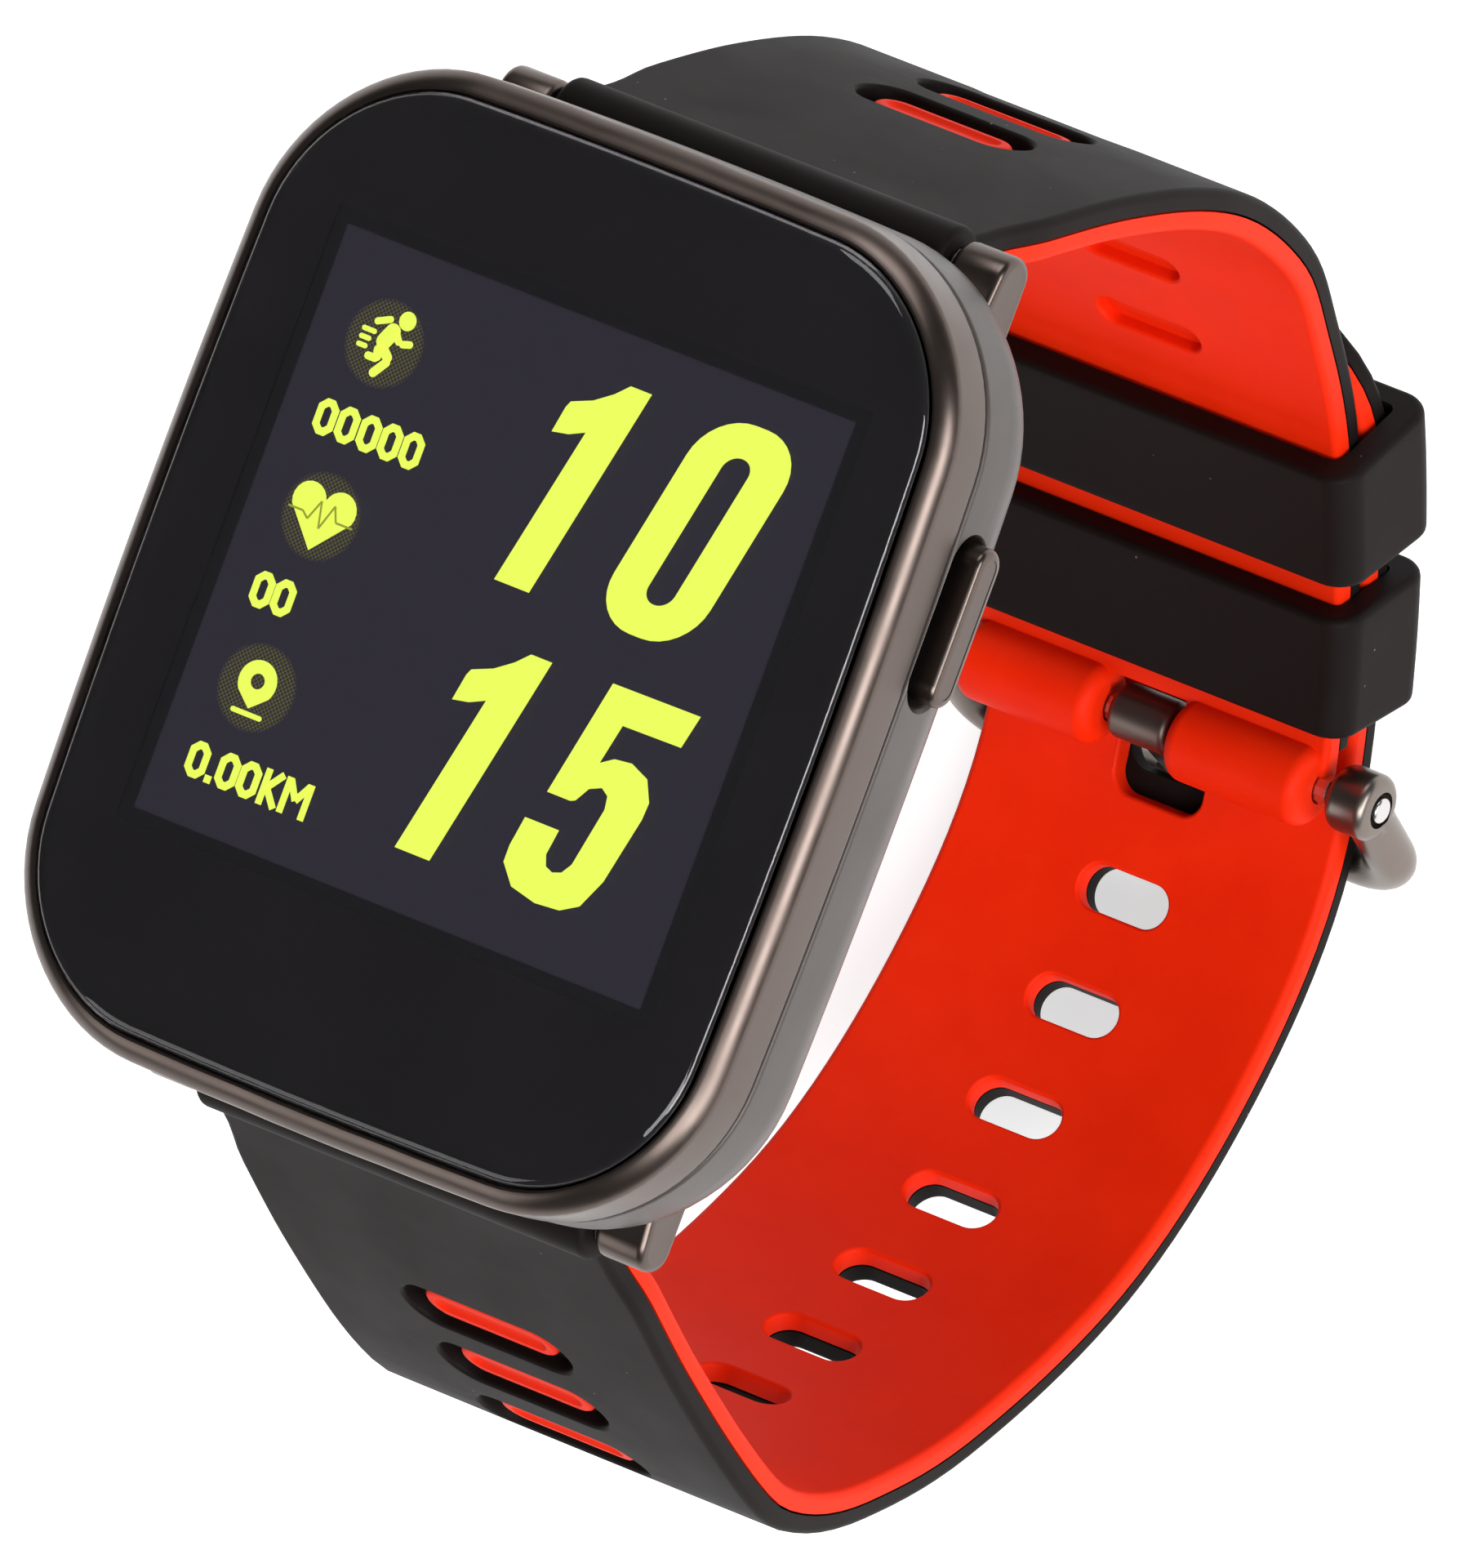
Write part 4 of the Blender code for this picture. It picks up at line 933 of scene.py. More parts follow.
# %% Cover glass
GLASS_INSET, GLASS_LOW, GLASS_FLAT = 1.16, 10.86, 11.82
glass = head_plate("cover_glass_plate", GLASS_INSET, GLASS_LOW, GLASS_FLAT)
pick("edges", rim(GLASS_FLAT))
bevel(0.62, 8)
pick("faces", face_up(GLASS_FLAT))
draw_in(0.45, 0.05)
draw_in(0.60, 0.03)
draw_in(0.30)
pick("edges", rim(GLASS_LOW))
bevel(0.08, 2)
done()
finish(glass, "watch", COVER_GLASS, "glass_lens", slot="glass", angle=30)

# %% [markdown]
# The print is silk-screened as a black frame. Here it is a thin sheet of the same outline with a
# square cut out of it, a little larger than the lit part.

# %% Black print under the glass
WINDOW_HALF = 14.55
sheet = head_plate("glass_print_sheet", GLASS_INSET + 0.05, 10.79, 10.82)
done()
cut(sheet, block("window", (-WINDOW_HALF, DISPLAY_MIDDLE[1] - WINDOW_HALF, 10.5),
                 (WINDOW_HALF, DISPLAY_MIDDLE[1] + WINDOW_HALF, 11.2)))
finish(sheet, "watch", GLASS_PRINT, slot="glass", angle=30)
dress(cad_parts["display_module"], LIT_DISPLAY)
print("print laid under the glass")

# %% [markdown]
# ## Figures on the display
# The time, the counters and the three little pictures are shapes of light. They could be painted on
# the panel, but as thin pieces lying on it they stay sharp however close one looks. A big figure is
# a flat curve through its corners, turned into a mesh and given a hair of thickness.

# %% Helpers for flat lit figures
FIGURE_Z = 10.765
figures = []


def on_panel(x, y):
    return ((DISPLAY_MIDDLE[0] + x) * MM, (DISPLAY_MIDDLE[1] + y) * MM, FIGURE_Z * MM)


def figure(name, *outlines):
    """A flat filled curve; a second outline inside the first is a hole."""
    bpy.ops.curve.primitive_bezier_curve_add(location=on_panel(0, 0))
    obj = bpy.context.object
    obj.name = name
    obj.data.dimensions = "2D"
    obj.data.fill_mode = "BOTH"
    obj.data.splines.clear()
    for outline in outlines:
        spline = obj.data.splines.new("POLY")
        spline.points.add(len(outline) - 1)
        for point, (x, y) in zip(spline.points, outline):
            point.co = (x * MM, y * MM, 0, 1)
        spline.use_cyclic_u = True
    only(obj)
    bpy.ops.object.convert(target="MESH")
    settle(obj)
    figures.append(obj)
    return obj


def arc(x, y, radius, start, end, steps=8):
    """Points of an arc in degrees."""
    angles = [math.radians(start + (end - start) * i / steps) for i in range(steps + 1)]
    return [(x + radius * math.cos(angle), y + radius * math.sin(angle)) for angle in angles]


def stroke(a, b, width, shape=0.49):
    """A plane stretched from one point to another; its corners are bevelled into round ends."""
    middle_x, middle_y = (a[0] + b[0]) / 2, (a[1] + b[1]) / 2
    length = math.hypot(b[0] - a[0], b[1] - a[1])
    turn = math.atan2(b[1] - a[1], b[0] - a[0])
    bpy.ops.mesh.primitive_plane_add(size=1, location=on_panel(middle_x, middle_y), rotation=(0, 0, turn))
    obj = bpy.context.object
    obj.scale = (length * MM, width * MM, 1)
    settle(obj)
    if shape:
        edit(obj)
        pick_all()
        bpy.ops.mesh.bevel(offset=shape * min(width, length) * MM, segments=4, affect="VERTICES")
        done()
    figures.append(obj)
    return obj


print("figure helpers ready")

# %% [markdown]
# The time is set in tall leaning numerals. The one and the five are drawn corner by corner, and the
# zero is a rounded box inside another, both slanted by the same amount.

# %% The hour and the minutes
ONE = ((-0.60, 1.50), (1.30, 1.50), (3.70, 11.70), (2.55, 11.70), (1.90, 11.10), (1.00, 10.50),
       (-0.05, 10.10), (-0.20, 9.80), (-0.45, 8.55), (0.40, 8.70), (1.20, 9.05))
LEAN = 0.228


def leaning_round(x, low, high, half, radius):
    """A rounded box that leans to the right as it rises."""
    height = (high + low) / 2
    corners = ((half - radius, high - radius, 0), (radius - half, high - radius, 90),
               (radius - half, low + radius, 180), (half - radius, low + radius, 270))
    points = []
    for dx, y, start in corners:
        for px, py in arc(0, 0, radius, start, start + 90):
            points.append((x + dx + px + LEAN * (y + py - height), y + py))
    return points


FIVE = ((6.90, -0.85), (11.65, -0.80), (11.25, -2.40), (8.10, -2.45), (7.65, -4.35), (8.30, -3.95),
        (9.20, -3.85), (10.20, -4.25), (10.70, -5.20), (10.65, -6.00), (9.90, -9.20), (9.20, -10.60),
        (8.30, -11.10), (7.00, -11.20), (5.60, -10.90), (4.80, -10.00), (4.80, -9.20), (5.05, -7.80),
        (6.90, -7.80), (6.70, -9.00), (6.90, -9.50), (7.30, -9.65), (7.75, -9.50), (8.10, -9.00),
        (8.70, -6.20), (8.60, -5.60), (8.20, -5.35), (7.60, -5.60), (7.15, -6.30), (6.90, -6.40),
        (5.65, -6.40))
figure("hour_one", ONE)
figure("minute_one", [(x - 0.05, y - 12.7) for x, y in ONE])
figure("hour_zero", leaning_round(8.32, 1.45, 12.10, 2.62, 2.3), leaning_round(8.30, 3.05, 10.50, 0.72, 0.70))
figure("minute_five", FIVE)
print("big figures drawn")

# %% [markdown]
# The counters use tall zeros with cut corners. One is modelled (a plane with bevelled corners and
# an inset whose middle is deleted) and the others are copies with their own mesh.

# %% The counters
def small_zero(x, y):
    bpy.ops.mesh.primitive_plane_add(size=1, location=on_panel(x, y))
    obj = bpy.context.object
    obj.scale = (1.12 * MM, 1.68 * MM, 1)
    settle(obj)
    edit(obj)
    pick_all()
    bpy.ops.mesh.bevel(offset=0.36 * MM, segments=1, affect="VERTICES")
    pick_all()
    draw_in(0.36)
    bpy.ops.mesh.delete(type="FACE")
    done()
    return obj


def copied(obj, dx, dy):
    """A copy with its own mesh, moved by millimetres in its mesh."""
    twin = obj.copy()
    twin.data = obj.data.copy()
    bpy.context.collection.objects.link(twin)
    twin.location = (dx * MM, dy * MM, 0)
    settle(twin)
    return twin


FIRST_ZERO = (-11.5, 5.45)
zero = small_zero(*FIRST_ZERO)
figures.append(zero)
for x, y in ((-10.32, 5.45), (-9.13, 5.45), (-7.97, 5.45), (-6.80, 5.45), (-11.50, -2.75), (-10.35, -2.75),
             (-11.60, -10.85), (-9.95, -10.85), (-8.80, -10.85)):
    figures.append(copied(zero, x - FIRST_ZERO[0], y - FIRST_ZERO[1]))
stroke((-10.98, -11.5), (-10.62, -11.5), 0.36, shape=0)
for a, b in (((-7.95, -11.69), (-7.95, -10.01)), ((-7.85, -10.90), (-7.15, -10.05)),
             ((-7.85, -10.80), (-7.15, -11.65)), ((-6.80, -11.69), (-6.80, -10.01)), ((-5.65, -11.69), (-5.65, -10.01)),
             ((-6.75, -10.10), (-6.22, -10.95)), ((-5.70, -10.10), (-6.22, -10.95))):
    stroke(a, b, 0.34, shape=0)
print(len(figures), "figures so far")

# %% [markdown]
# The pictures are simple: a runner made of round-ended strokes, a heart of two arcs that meet in a
# point, and a map pin of one arc with a hole in it.

# %% The runner, the heart and the map pin
bpy.ops.mesh.primitive_circle_add(vertices=24, radius=0.44 * MM, fill_type="NGON",
                                  location=on_panel(-9.25, 10.75))
figures.append(bpy.context.object)
settle(figures[-1])
for a, b, width in (((-9.60, 10.42), (-10.22, 9.20), 0.78), ((-9.95, 10.62), (-10.85, 10.22), 0.32),
                    ((-9.65, 10.15), (-9.22, 9.62), 0.36), ((-9.25, 9.66), (-8.58, 9.85), 0.34),
                    ((-10.15, 9.40), (-9.42, 8.75), 0.48), ((-9.45, 8.85), (-10.15, 7.90), 0.42),
                    ((-10.25, 9.30), (-10.05, 8.60), 0.42), ((-10.0, 8.70), (-10.75, 8.70), 0.36),
                    ((-11.35, 9.80), (-10.55, 9.80), 0.24), ((-11.35, 9.42), (-10.70, 9.42), 0.24),
                    ((-11.35, 9.05), (-10.75, 9.05), 0.24)):
    stroke(a, b, width)
heart = ([(-10.0, -0.35)] + arc(-10.83, 1.75, 0.87, 205, 30, 10) + [(-10.0, 2.0)]
         + arc(-9.17, 1.75, 0.87, 150, -25, 10))
figure("heart", heart)
pin_head = arc(-10.10, -6.65, 1.0, -35, 215, 20) + [(-10.10, -7.90)]
figure("map_pin", pin_head, arc(-10.10, -6.62, 0.36, 0, 345, 15))
stroke((-10.95, -8.15), (-9.25, -8.15), 0.24)
print(len(figures), "figures so far")

# %% [markdown]
# All the lime shapes light up together, so they become one piece. The pulse across the heart is
# another colour and lies just above it.

# %% Join the lit figures into one piece
def join_flat(name, objs, thickness, rise, look):
    bpy.ops.object.select_all(action="DESELECT")
    for obj in objs:
        obj.select_set(True)
    bpy.context.view_layer.objects.active = objs[0]
    bpy.ops.object.join()
    sheet = named(name)
    settle(sheet)
    edit(sheet)
    pick_all()
    bpy.ops.mesh.remove_doubles(threshold=0.001 * MM)
    bpy.ops.mesh.normals_make_consistent(inside=False)
    pick("faces", lambda f: f.normal.z < 0)
    bpy.ops.mesh.flip_normals()
    pick_all()
    bpy.ops.transform.translate(value=(0, 0, rise * MM))
    done()
    apply(sheet, "SOLIDIFY", thickness=thickness * MM, offset=-1)
    finish(sheet, "watch", look, slot="display")


join_flat("lit_figures", figures, 0.01, 0, LIME)
figures = []
trace = ((-11.75, 1.22), (-10.95, 1.22), (-10.60, 0.95), (-10.18, 1.90), (-9.90, 0.70), (-9.45, 1.90),
         (-9.15, 1.22), (-8.25, 1.22))
for a, b in zip(trace, trace[1:]):
    stroke(a, b, 0.10, shape=0)
join_flat("pulse_line", figures, 0.004, 0.012, OLIVE)

# %% [markdown]
# ## Lugs
# Four short lugs hold the spring bars. One is modelled: a block whose tip is lowered, its end
# rounded, and all rims softened so they catch the light. The other three are copies: one moved
# across, then both turned to the other end.

# %% Lugs
LUG_IN, LUG_OUT = 11.0, 13.8
lug = block("lug_12_right_piece", (LUG_IN, 19.4, 0.42), (LUG_OUT, 24.05, 3.6))
edit(lug)
pick("edges", lambda e: all(v.co.y > 24 * MM and v.co.z > 3 * MM for v in e.verts))
bpy.ops.transform.translate(value=(0, 0, -0.78 * MM))
pick("edges", lambda e: (all(v.co.y > 24 * MM for v in e.verts)
                         and abs(e.verts[0].co.x - e.verts[1].co.x) > 1 * MM))
bevel(1.12, 9)
pick("edges", lambda e: middle(e).y > 19.5 * MM and any(
    all(abs(v.co.x - side * MM) < 1e-5 for v in e.verts) for side in (LUG_IN, LUG_OUT)))
bevel(0.42, 4)
pick("faces", lambda f: abs(f.normal.x) > 0.99 and f.calc_area() > 4e-6)
draw_in(0.12, -0.03)
done()
lug_far = copied(lug, -(LUG_IN + LUG_OUT), 0)
lugs = [(lug, "lug_12_right"), (lug_far, "lug_12_left")]
for first, node in ((lug, "lug_6_left"), (lug_far, "lug_6_right")):
    twin = copied(first, 0, 0)
    twin.rotation_euler = (0, 0, math.pi)
    settle(twin)
    lugs.append((twin, node))
for piece, node in lugs:
    piece.name = piece.data.name = node + "_piece"
    finish(piece, "watch", GUNMETAL, node, slot="gunmetal", angle=30)

# %% [markdown]
# ## Strap
# A strap is easiest to model flat. Each half is two bonded layers, so four bands are drawn out
# along X with every vent, slot and rounded edge in place, and a Curve modifier then bends each one
# along the line that the closed strap follows. X is the way along the line, Y the way out of the
# loop and Z the way across, all measured from the lug bar of the buckle half.

# %% The line of the closed strap
LOOP_HALF, LOOP_DROP = 30.5, 54.6
LOOP_SHAPE = ((0.918, 0.227), (0.972, 0.405), (0.934, 0.560), (0.845, 0.663), (0.672, 0.788), (0.334, 0.925),
              (0.010, 1.000), (-0.313, 0.984), (-0.628, 0.902), (-0.892, 0.745), (-1.016, 0.601),
              (-1.055, 0.487), (-1.026, 0.395), (-0.900, 0.222))
STRAP_DROP, LEAD = 1.1, 6  # from bar to line, and the run-out past the line's ends
LEAVE = math.radians(15)
FLAT_TURN = (math.pi / 2, 0, math.pi / 2)  # turns flat X, Y, Z to world Y, Z, X


def loop_points():
    start = Vector((BAR_Y + math.cos(LEAVE) * STRAP_DROP, BAR_Z + math.sin(LEAVE) * STRAP_DROP))
    end = Vector((-BAR_Y + math.cos(LEAVE) * STRAP_DROP, BAR_Z - math.sin(LEAVE) * STRAP_DROP))
    ahead = Vector((math.sin(LEAVE), -math.cos(LEAVE))) * LEAD
    points = [start] + [Vector((y * LOOP_HALF, BAR_Z - z * LOOP_DROP)) for y, z in LOOP_SHAPE] + [end]
    return [start - ahead] + points + [end + Vector((math.sin(LEAVE), math.cos(LEAVE))) * LEAD]


points = loop_points()
bpy.ops.curve.primitive_bezier_curve_add()
strap_line = bpy.context.object
strap_line.name = "strap_line"
strap_line.data.dimensions = "2D"
strap_line.data.resolution_u = 64
strap_line.data.use_deform_bounds = False
spline = strap_line.data.splines[0]
spline.bezier_points.add(len(points) - 4)
for knot, before, here, after in zip(spline.bezier_points, points, points[1:], points[2:]):
    knot.handle_left_type = knot.handle_right_type = "FREE"
    pull = (after - before) / 6
    knot.co = (here.x * MM, here.y * MM, 0)
    knot.handle_left = ((here.x - pull.x) * MM, (here.y - pull.y) * MM, 0)
    knot.handle_right = ((here.x + pull.x) * MM, (here.y + pull.y) * MM, 0)
strap_line.rotation_euler = FLAT_TURN
LINE_LENGTH = spline.calc_length() / MM
print("the line is", round(LINE_LENGTH, 2), "mm long")

# %% [markdown]
# A band grows by extruding its end face from stop to stop, which lets its width change. A slot is a
# cutter with trumpet ends, so that one cut leaves the rounded rims of a moulded hole.

# %% Helpers for bands, soft slots and bending
def along_x(x):
    """How far from its own lug a place of a half lies, with how wide the half is there."""
    def eased(distance, start, end):
        share = min(max((distance - start) / (end - start), 0), 1)
        return share * share * (3 - 2 * share)
    return (21.4 + 0.8 * eased(x, 3, 7) - 2.5 * eased(x, 20, 45)) / 2


def band(name, stops, halves, low, high):
    """A flat band along X: a short block whose end face is extruded and rescaled at every stop."""
    strip = block(name, (stops[0], low, -halves[0]), (stops[1], high, halves[0]))
    edit(strip)
    pick("faces", lambda f: f.normal.x > 0.9)
    resize((1, 1, halves[1] / halves[0]))
    for i in range(2, len(stops)):
        extrude(stops[i] - stops[i - 1], 0, 0)
        resize((1, 1, halves[i] / halves[i - 1]))
    done()
    return strip


def soften(strip, level, width, segments):
    """Bevels a band's long rims at one height."""
    edit(strip)
    pick("edges", lambda e: (all(abs(v.co.y / MM - level) < 0.005 for v in e.verts) and len(e.link_faces) == 2
                             and e.calc_face_angle(0) > 0.9))
    bevel(width, segments)
    done()


PROUD = 0.013  # how far a flare ends past the surface, so that the two never coincide


def soft_slot(name, x, length, width, low, high, rims, corner=None):
    """A stadium cutter from low to high that flares by its rim radius, at the low, the high or both ends."""
    down, up = rims
    low, high = low - PROUD, high + PROUD
    cutter = stadium(name, (x - length / 2, low + down, -width / 2),
                     (x + length / 2, high - up, width / 2), 2, 1, corner)
    for sign, radius in ((-1, down), (1, up)):
        if not radius:
            continue
        pick("faces", lambda f: f.normal.y * sign > 0.9)
        grown = 0.0
        for i in range(1, 5):
            angle = math.radians(22.5 * i)
            rise = radius * (math.sin(angle) - math.sin(angle - math.radians(22.5)))
            grow = radius * (1 - math.cos(angle))
            extrude(0, sign * rise, 0)
            resize(((length + 2 * grow) / (length + 2 * grown), 1, (width + 2 * grow) / (width + 2 * grown)),
                   (x * MM, 0, 0))
            grown = grow
        extrude(0, sign * 0.3, 0)
    done()
    return cutter


def bend(strip):
    """Lays a flat band along the strap's line."""
    strip.rotation_euler = FLAT_TURN
    apply(strip, "CURVE", object=strap_line, deform_axis="POS_X")
    settle(strip)
    return strip


def combine(target, *others):
    bpy.ops.object.select_all(action="DESELECT")
    for other in others:
        other.select_set(True)
    target.select_set(True)
    bpy.context.view_layer.objects.active = target
    bpy.ops.object.join()
    return target


ROLL = (4.605, -49.886)  # where the buckle's spring bar is, in Y and Z
FRAME_TURN, TONGUE_TURN = math.radians(156.74), math.radians(163.73)


def lean_into_place(piece, turn):
    """Puts a piece modelled upright on the buckle's bar at its lean."""
    piece.rotation_euler = (turn, 0, 0)
    piece.location = (0, ROLL[0] * MM, ROLL[1] * MM)
    settle(piece)


print("strap helpers ready")

# %% [markdown]
# ### Vents
# Near each lug the black layer has three stadium windows, and in each stands an island of the
# orange layer with a shallow dish along it. A window doesn't go right through: a thin black skin
# stays at its floor as painted shade, a dark sheet where the deep gap round the island would only be in shadow.

# %% Vents of one half
VENTS, VENT_SIZE = (14.6, 19.9, 25.2), (3.4, 9.1)


def island(x, low, high):
    """A raised orange stadium with a soft rim and a dished top."""
    mound = stadium("island", (x - 1.12, low, -3.62), (x + 1.12, high, 3.62), 2, 1)
    pick("edges", lambda e: all(v.co.y > (high - 0.01) * MM for v in e.verts) and e.calc_face_angle(0) > 0.8)
    bevel(0.28, 4)
    pick("faces", lambda f: f.normal.y > 0.98 and middle(f).y > (high - 0.01) * MM)
    draw_in(0.26)
    draw_in(0.16, -0.16)
    draw_in(0.14, -0.06)
    done()
    return mound


def stations(start, end, step=1.2):
    count = max(2, round((end - start) / step))
    return [start + (end - start) * i / count for i in range(count + 1)]


print("vents ready")

# %% [markdown]
# The outer layer is cut for the vents while flat, then bent, and last it gets the tube that the
# lug's spring bar runs through.

# %% Black layer of the buckle half
def tube_end(name, y):
    """The round end of a strap that the spring bar runs through."""
    end = soft_rod(name, (0, y, BAR_Z), 1.72, 21.4, 0.4, 4)
    cut(end, rod("bar_bore", (0, y, BAR_Z), 0.82, 30.0))
    return end


stops = stations(0, 63.2, 1.05)
upper_outer = band("upper_strap_black", stops, [along_x(s) for s in stops], -1.05, -0.10)
soften(upper_outer, -0.10, 0.42, 4)
# Each window cutter stops 0.19 mm short of the band's floor, and the black skin left there is painted shade in the gap
# round the island.
for x in VENTS:
    cut(upper_outer, soft_slot("window", x, *VENT_SIZE, -0.86, -0.10, (0, 0.25)))
bend(upper_outer)
combine(upper_outer, tube_end("upper_tube", BAR_Y))
finish(upper_outer, "watch", BLACK_SILICONE, "upper_strap_outer", slot="silicone_black", angle=40)

# %% [markdown]
# The inner layer carries the islands and two shallow dimples. At its end it rolls round the buckle's
# bar in two lengths, with a notch between them for the tongue.

# %% Orange layer of the buckle half
stops = stations(1.9, 65.0)
upper_inner = band("upper_strap_orange", stops, [along_x(s) for s in stops], -2.10, -1.15)
soften(upper_inner, -2.10, 0.35, 4)
for x in (36.9, 42.1):
    cut(upper_inner, soft_slot("dimple", x, 1.8, 5.6, -2.10, -1.48, (0.22, 0)))
cut(upper_inner, block("notch", (63.1, -3.6, -2.05), (67.0, 0.6, 2.05)))
combine(upper_inner, *[island(x, -1.30, -0.40) for x in VENTS])
bend(upper_inner)
ROLL_SHIFT = (-0.16, 0.36)  # the thicker inner side puts the roll's middle off the bar's
for side in (-1, 1):
    roll = soft_rod("roll", (side * 5.80, ROLL[0] + ROLL_SHIFT[0], ROLL[1] + ROLL_SHIFT[1]),
                    1.97, 7.5, 0.75, 6)
    cut(roll, rod("roll_bore", (side * 5.80, *ROLL), 0.82, 12.0))
    combine(upper_inner, roll)
finish(upper_inner, "watch", ORANGE_SILICONE, "upper_strap_inner", slot="silicone_orange", angle=40)

# %% [markdown]
# ### The slotted half
# The other half ends in a rounded tip. Its slots go through both layers. Each slot's cutter flares
# at both ends like a trumpet, so the cut is left with soft moulded rims. One slot is in use: the
# tongue goes through it at a slant.

# %% Slotted half, both layers
HALF_LENGTH, TIP_RADIUS = 105.5, 7.0
SLOT_LENGTH, SLOT_WIDTH, PITCH = 2.1, 4.8, 5.5
OVERSHOOT = 0.2  # how far a cutter that has no flare at an end runs past it
TIP_AT = LINE_LENGTH - HALF_LENGTH
SLOTS = [74.1 + PITCH * i for i in range(8)] + [63.1, 57.6, 52.1]
tip_turns = [math.radians(turn) for turn in (0, 32, 46, 57, 66, 74, 82, 90)]
tip_stops = [TIP_AT + TIP_RADIUS * (1 - math.cos(turn)) for turn in tip_turns]
tip_halves = [(6.0 + 13.7 * math.sin(turn)) / 2 for turn in tip_turns]


def slotted(name, end, low, high, rims, free_face, used):
    rest = stations(tip_stops[-1], end)[1:]
    strip = band(name, tip_stops + rest, tip_halves + [along_x(LINE_LENGTH - s) for s in rest], low, high)
    soften(strip, free_face, 0.42, 4)
    low -= OVERSHOOT * (rims[0] == 0)
    high += OVERSHOOT * (rims[1] == 0)
    for x in SLOTS:
        cut(strip, soft_slot("slot", x, SLOT_LENGTH, SLOT_WIDTH, low, high, rims))
    start, stop = used
    cut(strip, soft_slot("used_slot", (start + stop) / 2, stop - start, SLOT_WIDTH, low, high, rims,
                         corner=SLOT_LENGTH / 2))
    return strip


lower_inner = slotted("lower_strap_orange", LINE_LENGTH - 1.9, 0.10, 1.05, (0.22, 0), 0.10, (64.7, 69.7))
lower_outer = slotted("lower_strap_black", LINE_LENGTH, 1.15, 2.10, (0, 0.22), 2.10, (65.3, 68.6))
vents = [LINE_LENGTH - x for x in VENTS]
# Each window cutter stops 0.19 mm short of the band's inner face, and the black skin left there is painted shade in the
# gap round the island.
for x in vents:
    cut(lower_outer, soft_slot("window", x, *VENT_SIZE, 1.34, 2.10, (0, 0.25)))
combine(lower_inner, *[island(x, 0.90, 1.80) for x in vents])
bend(lower_inner)
bend(lower_outer)
combine(lower_outer, tube_end("lower_tube", -BAR_Y))
finish(lower_inner, "watch", ORANGE_SILICONE, "lower_strap_inner", slot="silicone_orange", angle=40)
finish(lower_outer, "watch", BLACK_SILICONE, "lower_strap_outer", slot="silicone_black", angle=40)

# %% [markdown]
# ## Keepers
# Two rubber loops hold the tail. Each is a block with rounded sides, hollowed by a second block,
# cut into slices so that it can bend, and bent along the same line. One is moulded on, and the
# other slides.

# %% Keepers
def keeper(name, x, gap, body, node):
    half, reach, wall, length = 9.85 + gap, 2.1 + gap, 1.3, 6.6
    loop = block(name, (x - length / 2, -reach - wall, -half - wall),
                 (x + length / 2, reach + wall, half + wall))
    edit(loop)
    pick("edges", lambda e: abs(e.verts[0].co.x - e.verts[1].co.x) > 1 * MM)
    bevel(1.5, 8)
    pick("edges", lambda e: abs(e.verts[0].co.x - e.verts[1].co.x) < 0.01 * MM and e.calc_face_angle(0) > 1)
    bevel(0.38, 4)
    done()
    hollow = block("hollow", (x - length, -reach, -half), (x + length, reach, half))
    edit(hollow)
    pick("edges", lambda e: abs(e.verts[0].co.x - e.verts[1].co.x) > 1 * MM)
    bevel(0.5, 4)
    done()
    cut(loop, hollow)
    edit(loop)
    for i in range(1, 8):
        pick_all()
        bpy.ops.mesh.bisect(plane_co=((x + length * (i / 8 - 0.5)) * MM, 0, 0), plane_no=(1, 0, 0))
    done()
    bend(loop)
    return finish(loop, body, BLACK_SILICONE, node, slot="silicone_black", angle=40)


keeper("fixed_keeper_loop", 58.3, 0.10, "watch", "fixed_keeper")
keeper("free_keeper_loop", 49.8, 0.25, "free_keeper", "free_keeper")

# %% [markdown]
# ## Buckle
# The buckle frame is one round bar bent into a U, with an eye at each end for the spring bar. A
# circle is extruded up one arm, spun round the corner, extruded across, spun again and extruded
# down. The tongue is a flat strip with an eye.

# %% Buckle frame
ARM_X, CORNER, REACH, ARM_FOOT = 11.70, 2.4, 7.0, 0.6


def round_corner(x):
    bpy.ops.mesh.spin(steps=10, angle=math.pi / 2, center=(x * MM, 0, (REACH - CORNER) * MM), axis=(0, -1, 0))


bpy.ops.mesh.primitive_circle_add(vertices=28, radius=1.1 * MM, fill_type="NGON",
                                  location=(-ARM_X * MM, 0, ARM_FOOT * MM))
buckle = named("buckle_bow")
settle(buckle)
edit(buckle)
pick_all()
resize((1.2 / 1.1, 1, 1), (-ARM_X * MM, 0, 0))
straight = REACH - CORNER - ARM_FOOT
for i in range(4):
    extrude(0, 0, straight / 4)
round_corner(CORNER - ARM_X)
across = 2 * (ARM_X - CORNER)
for i in range(6):
    extrude(across / 6, 0, 0)
round_corner(ARM_X - CORNER)
for i in range(4):
    extrude(0, 0, -straight / 4)
pick_all()
bpy.ops.mesh.normals_make_consistent(inside=False)
done()
print("bow box", [round(v / MM, 2) for v in buckle.dimensions])

# %% [markdown]
# A short round-edged rod joined to each arm is the eye. The end of the spring bar's pin shows in it
# as a small bright disc, and the cross bar has a flat where the tongue rests.

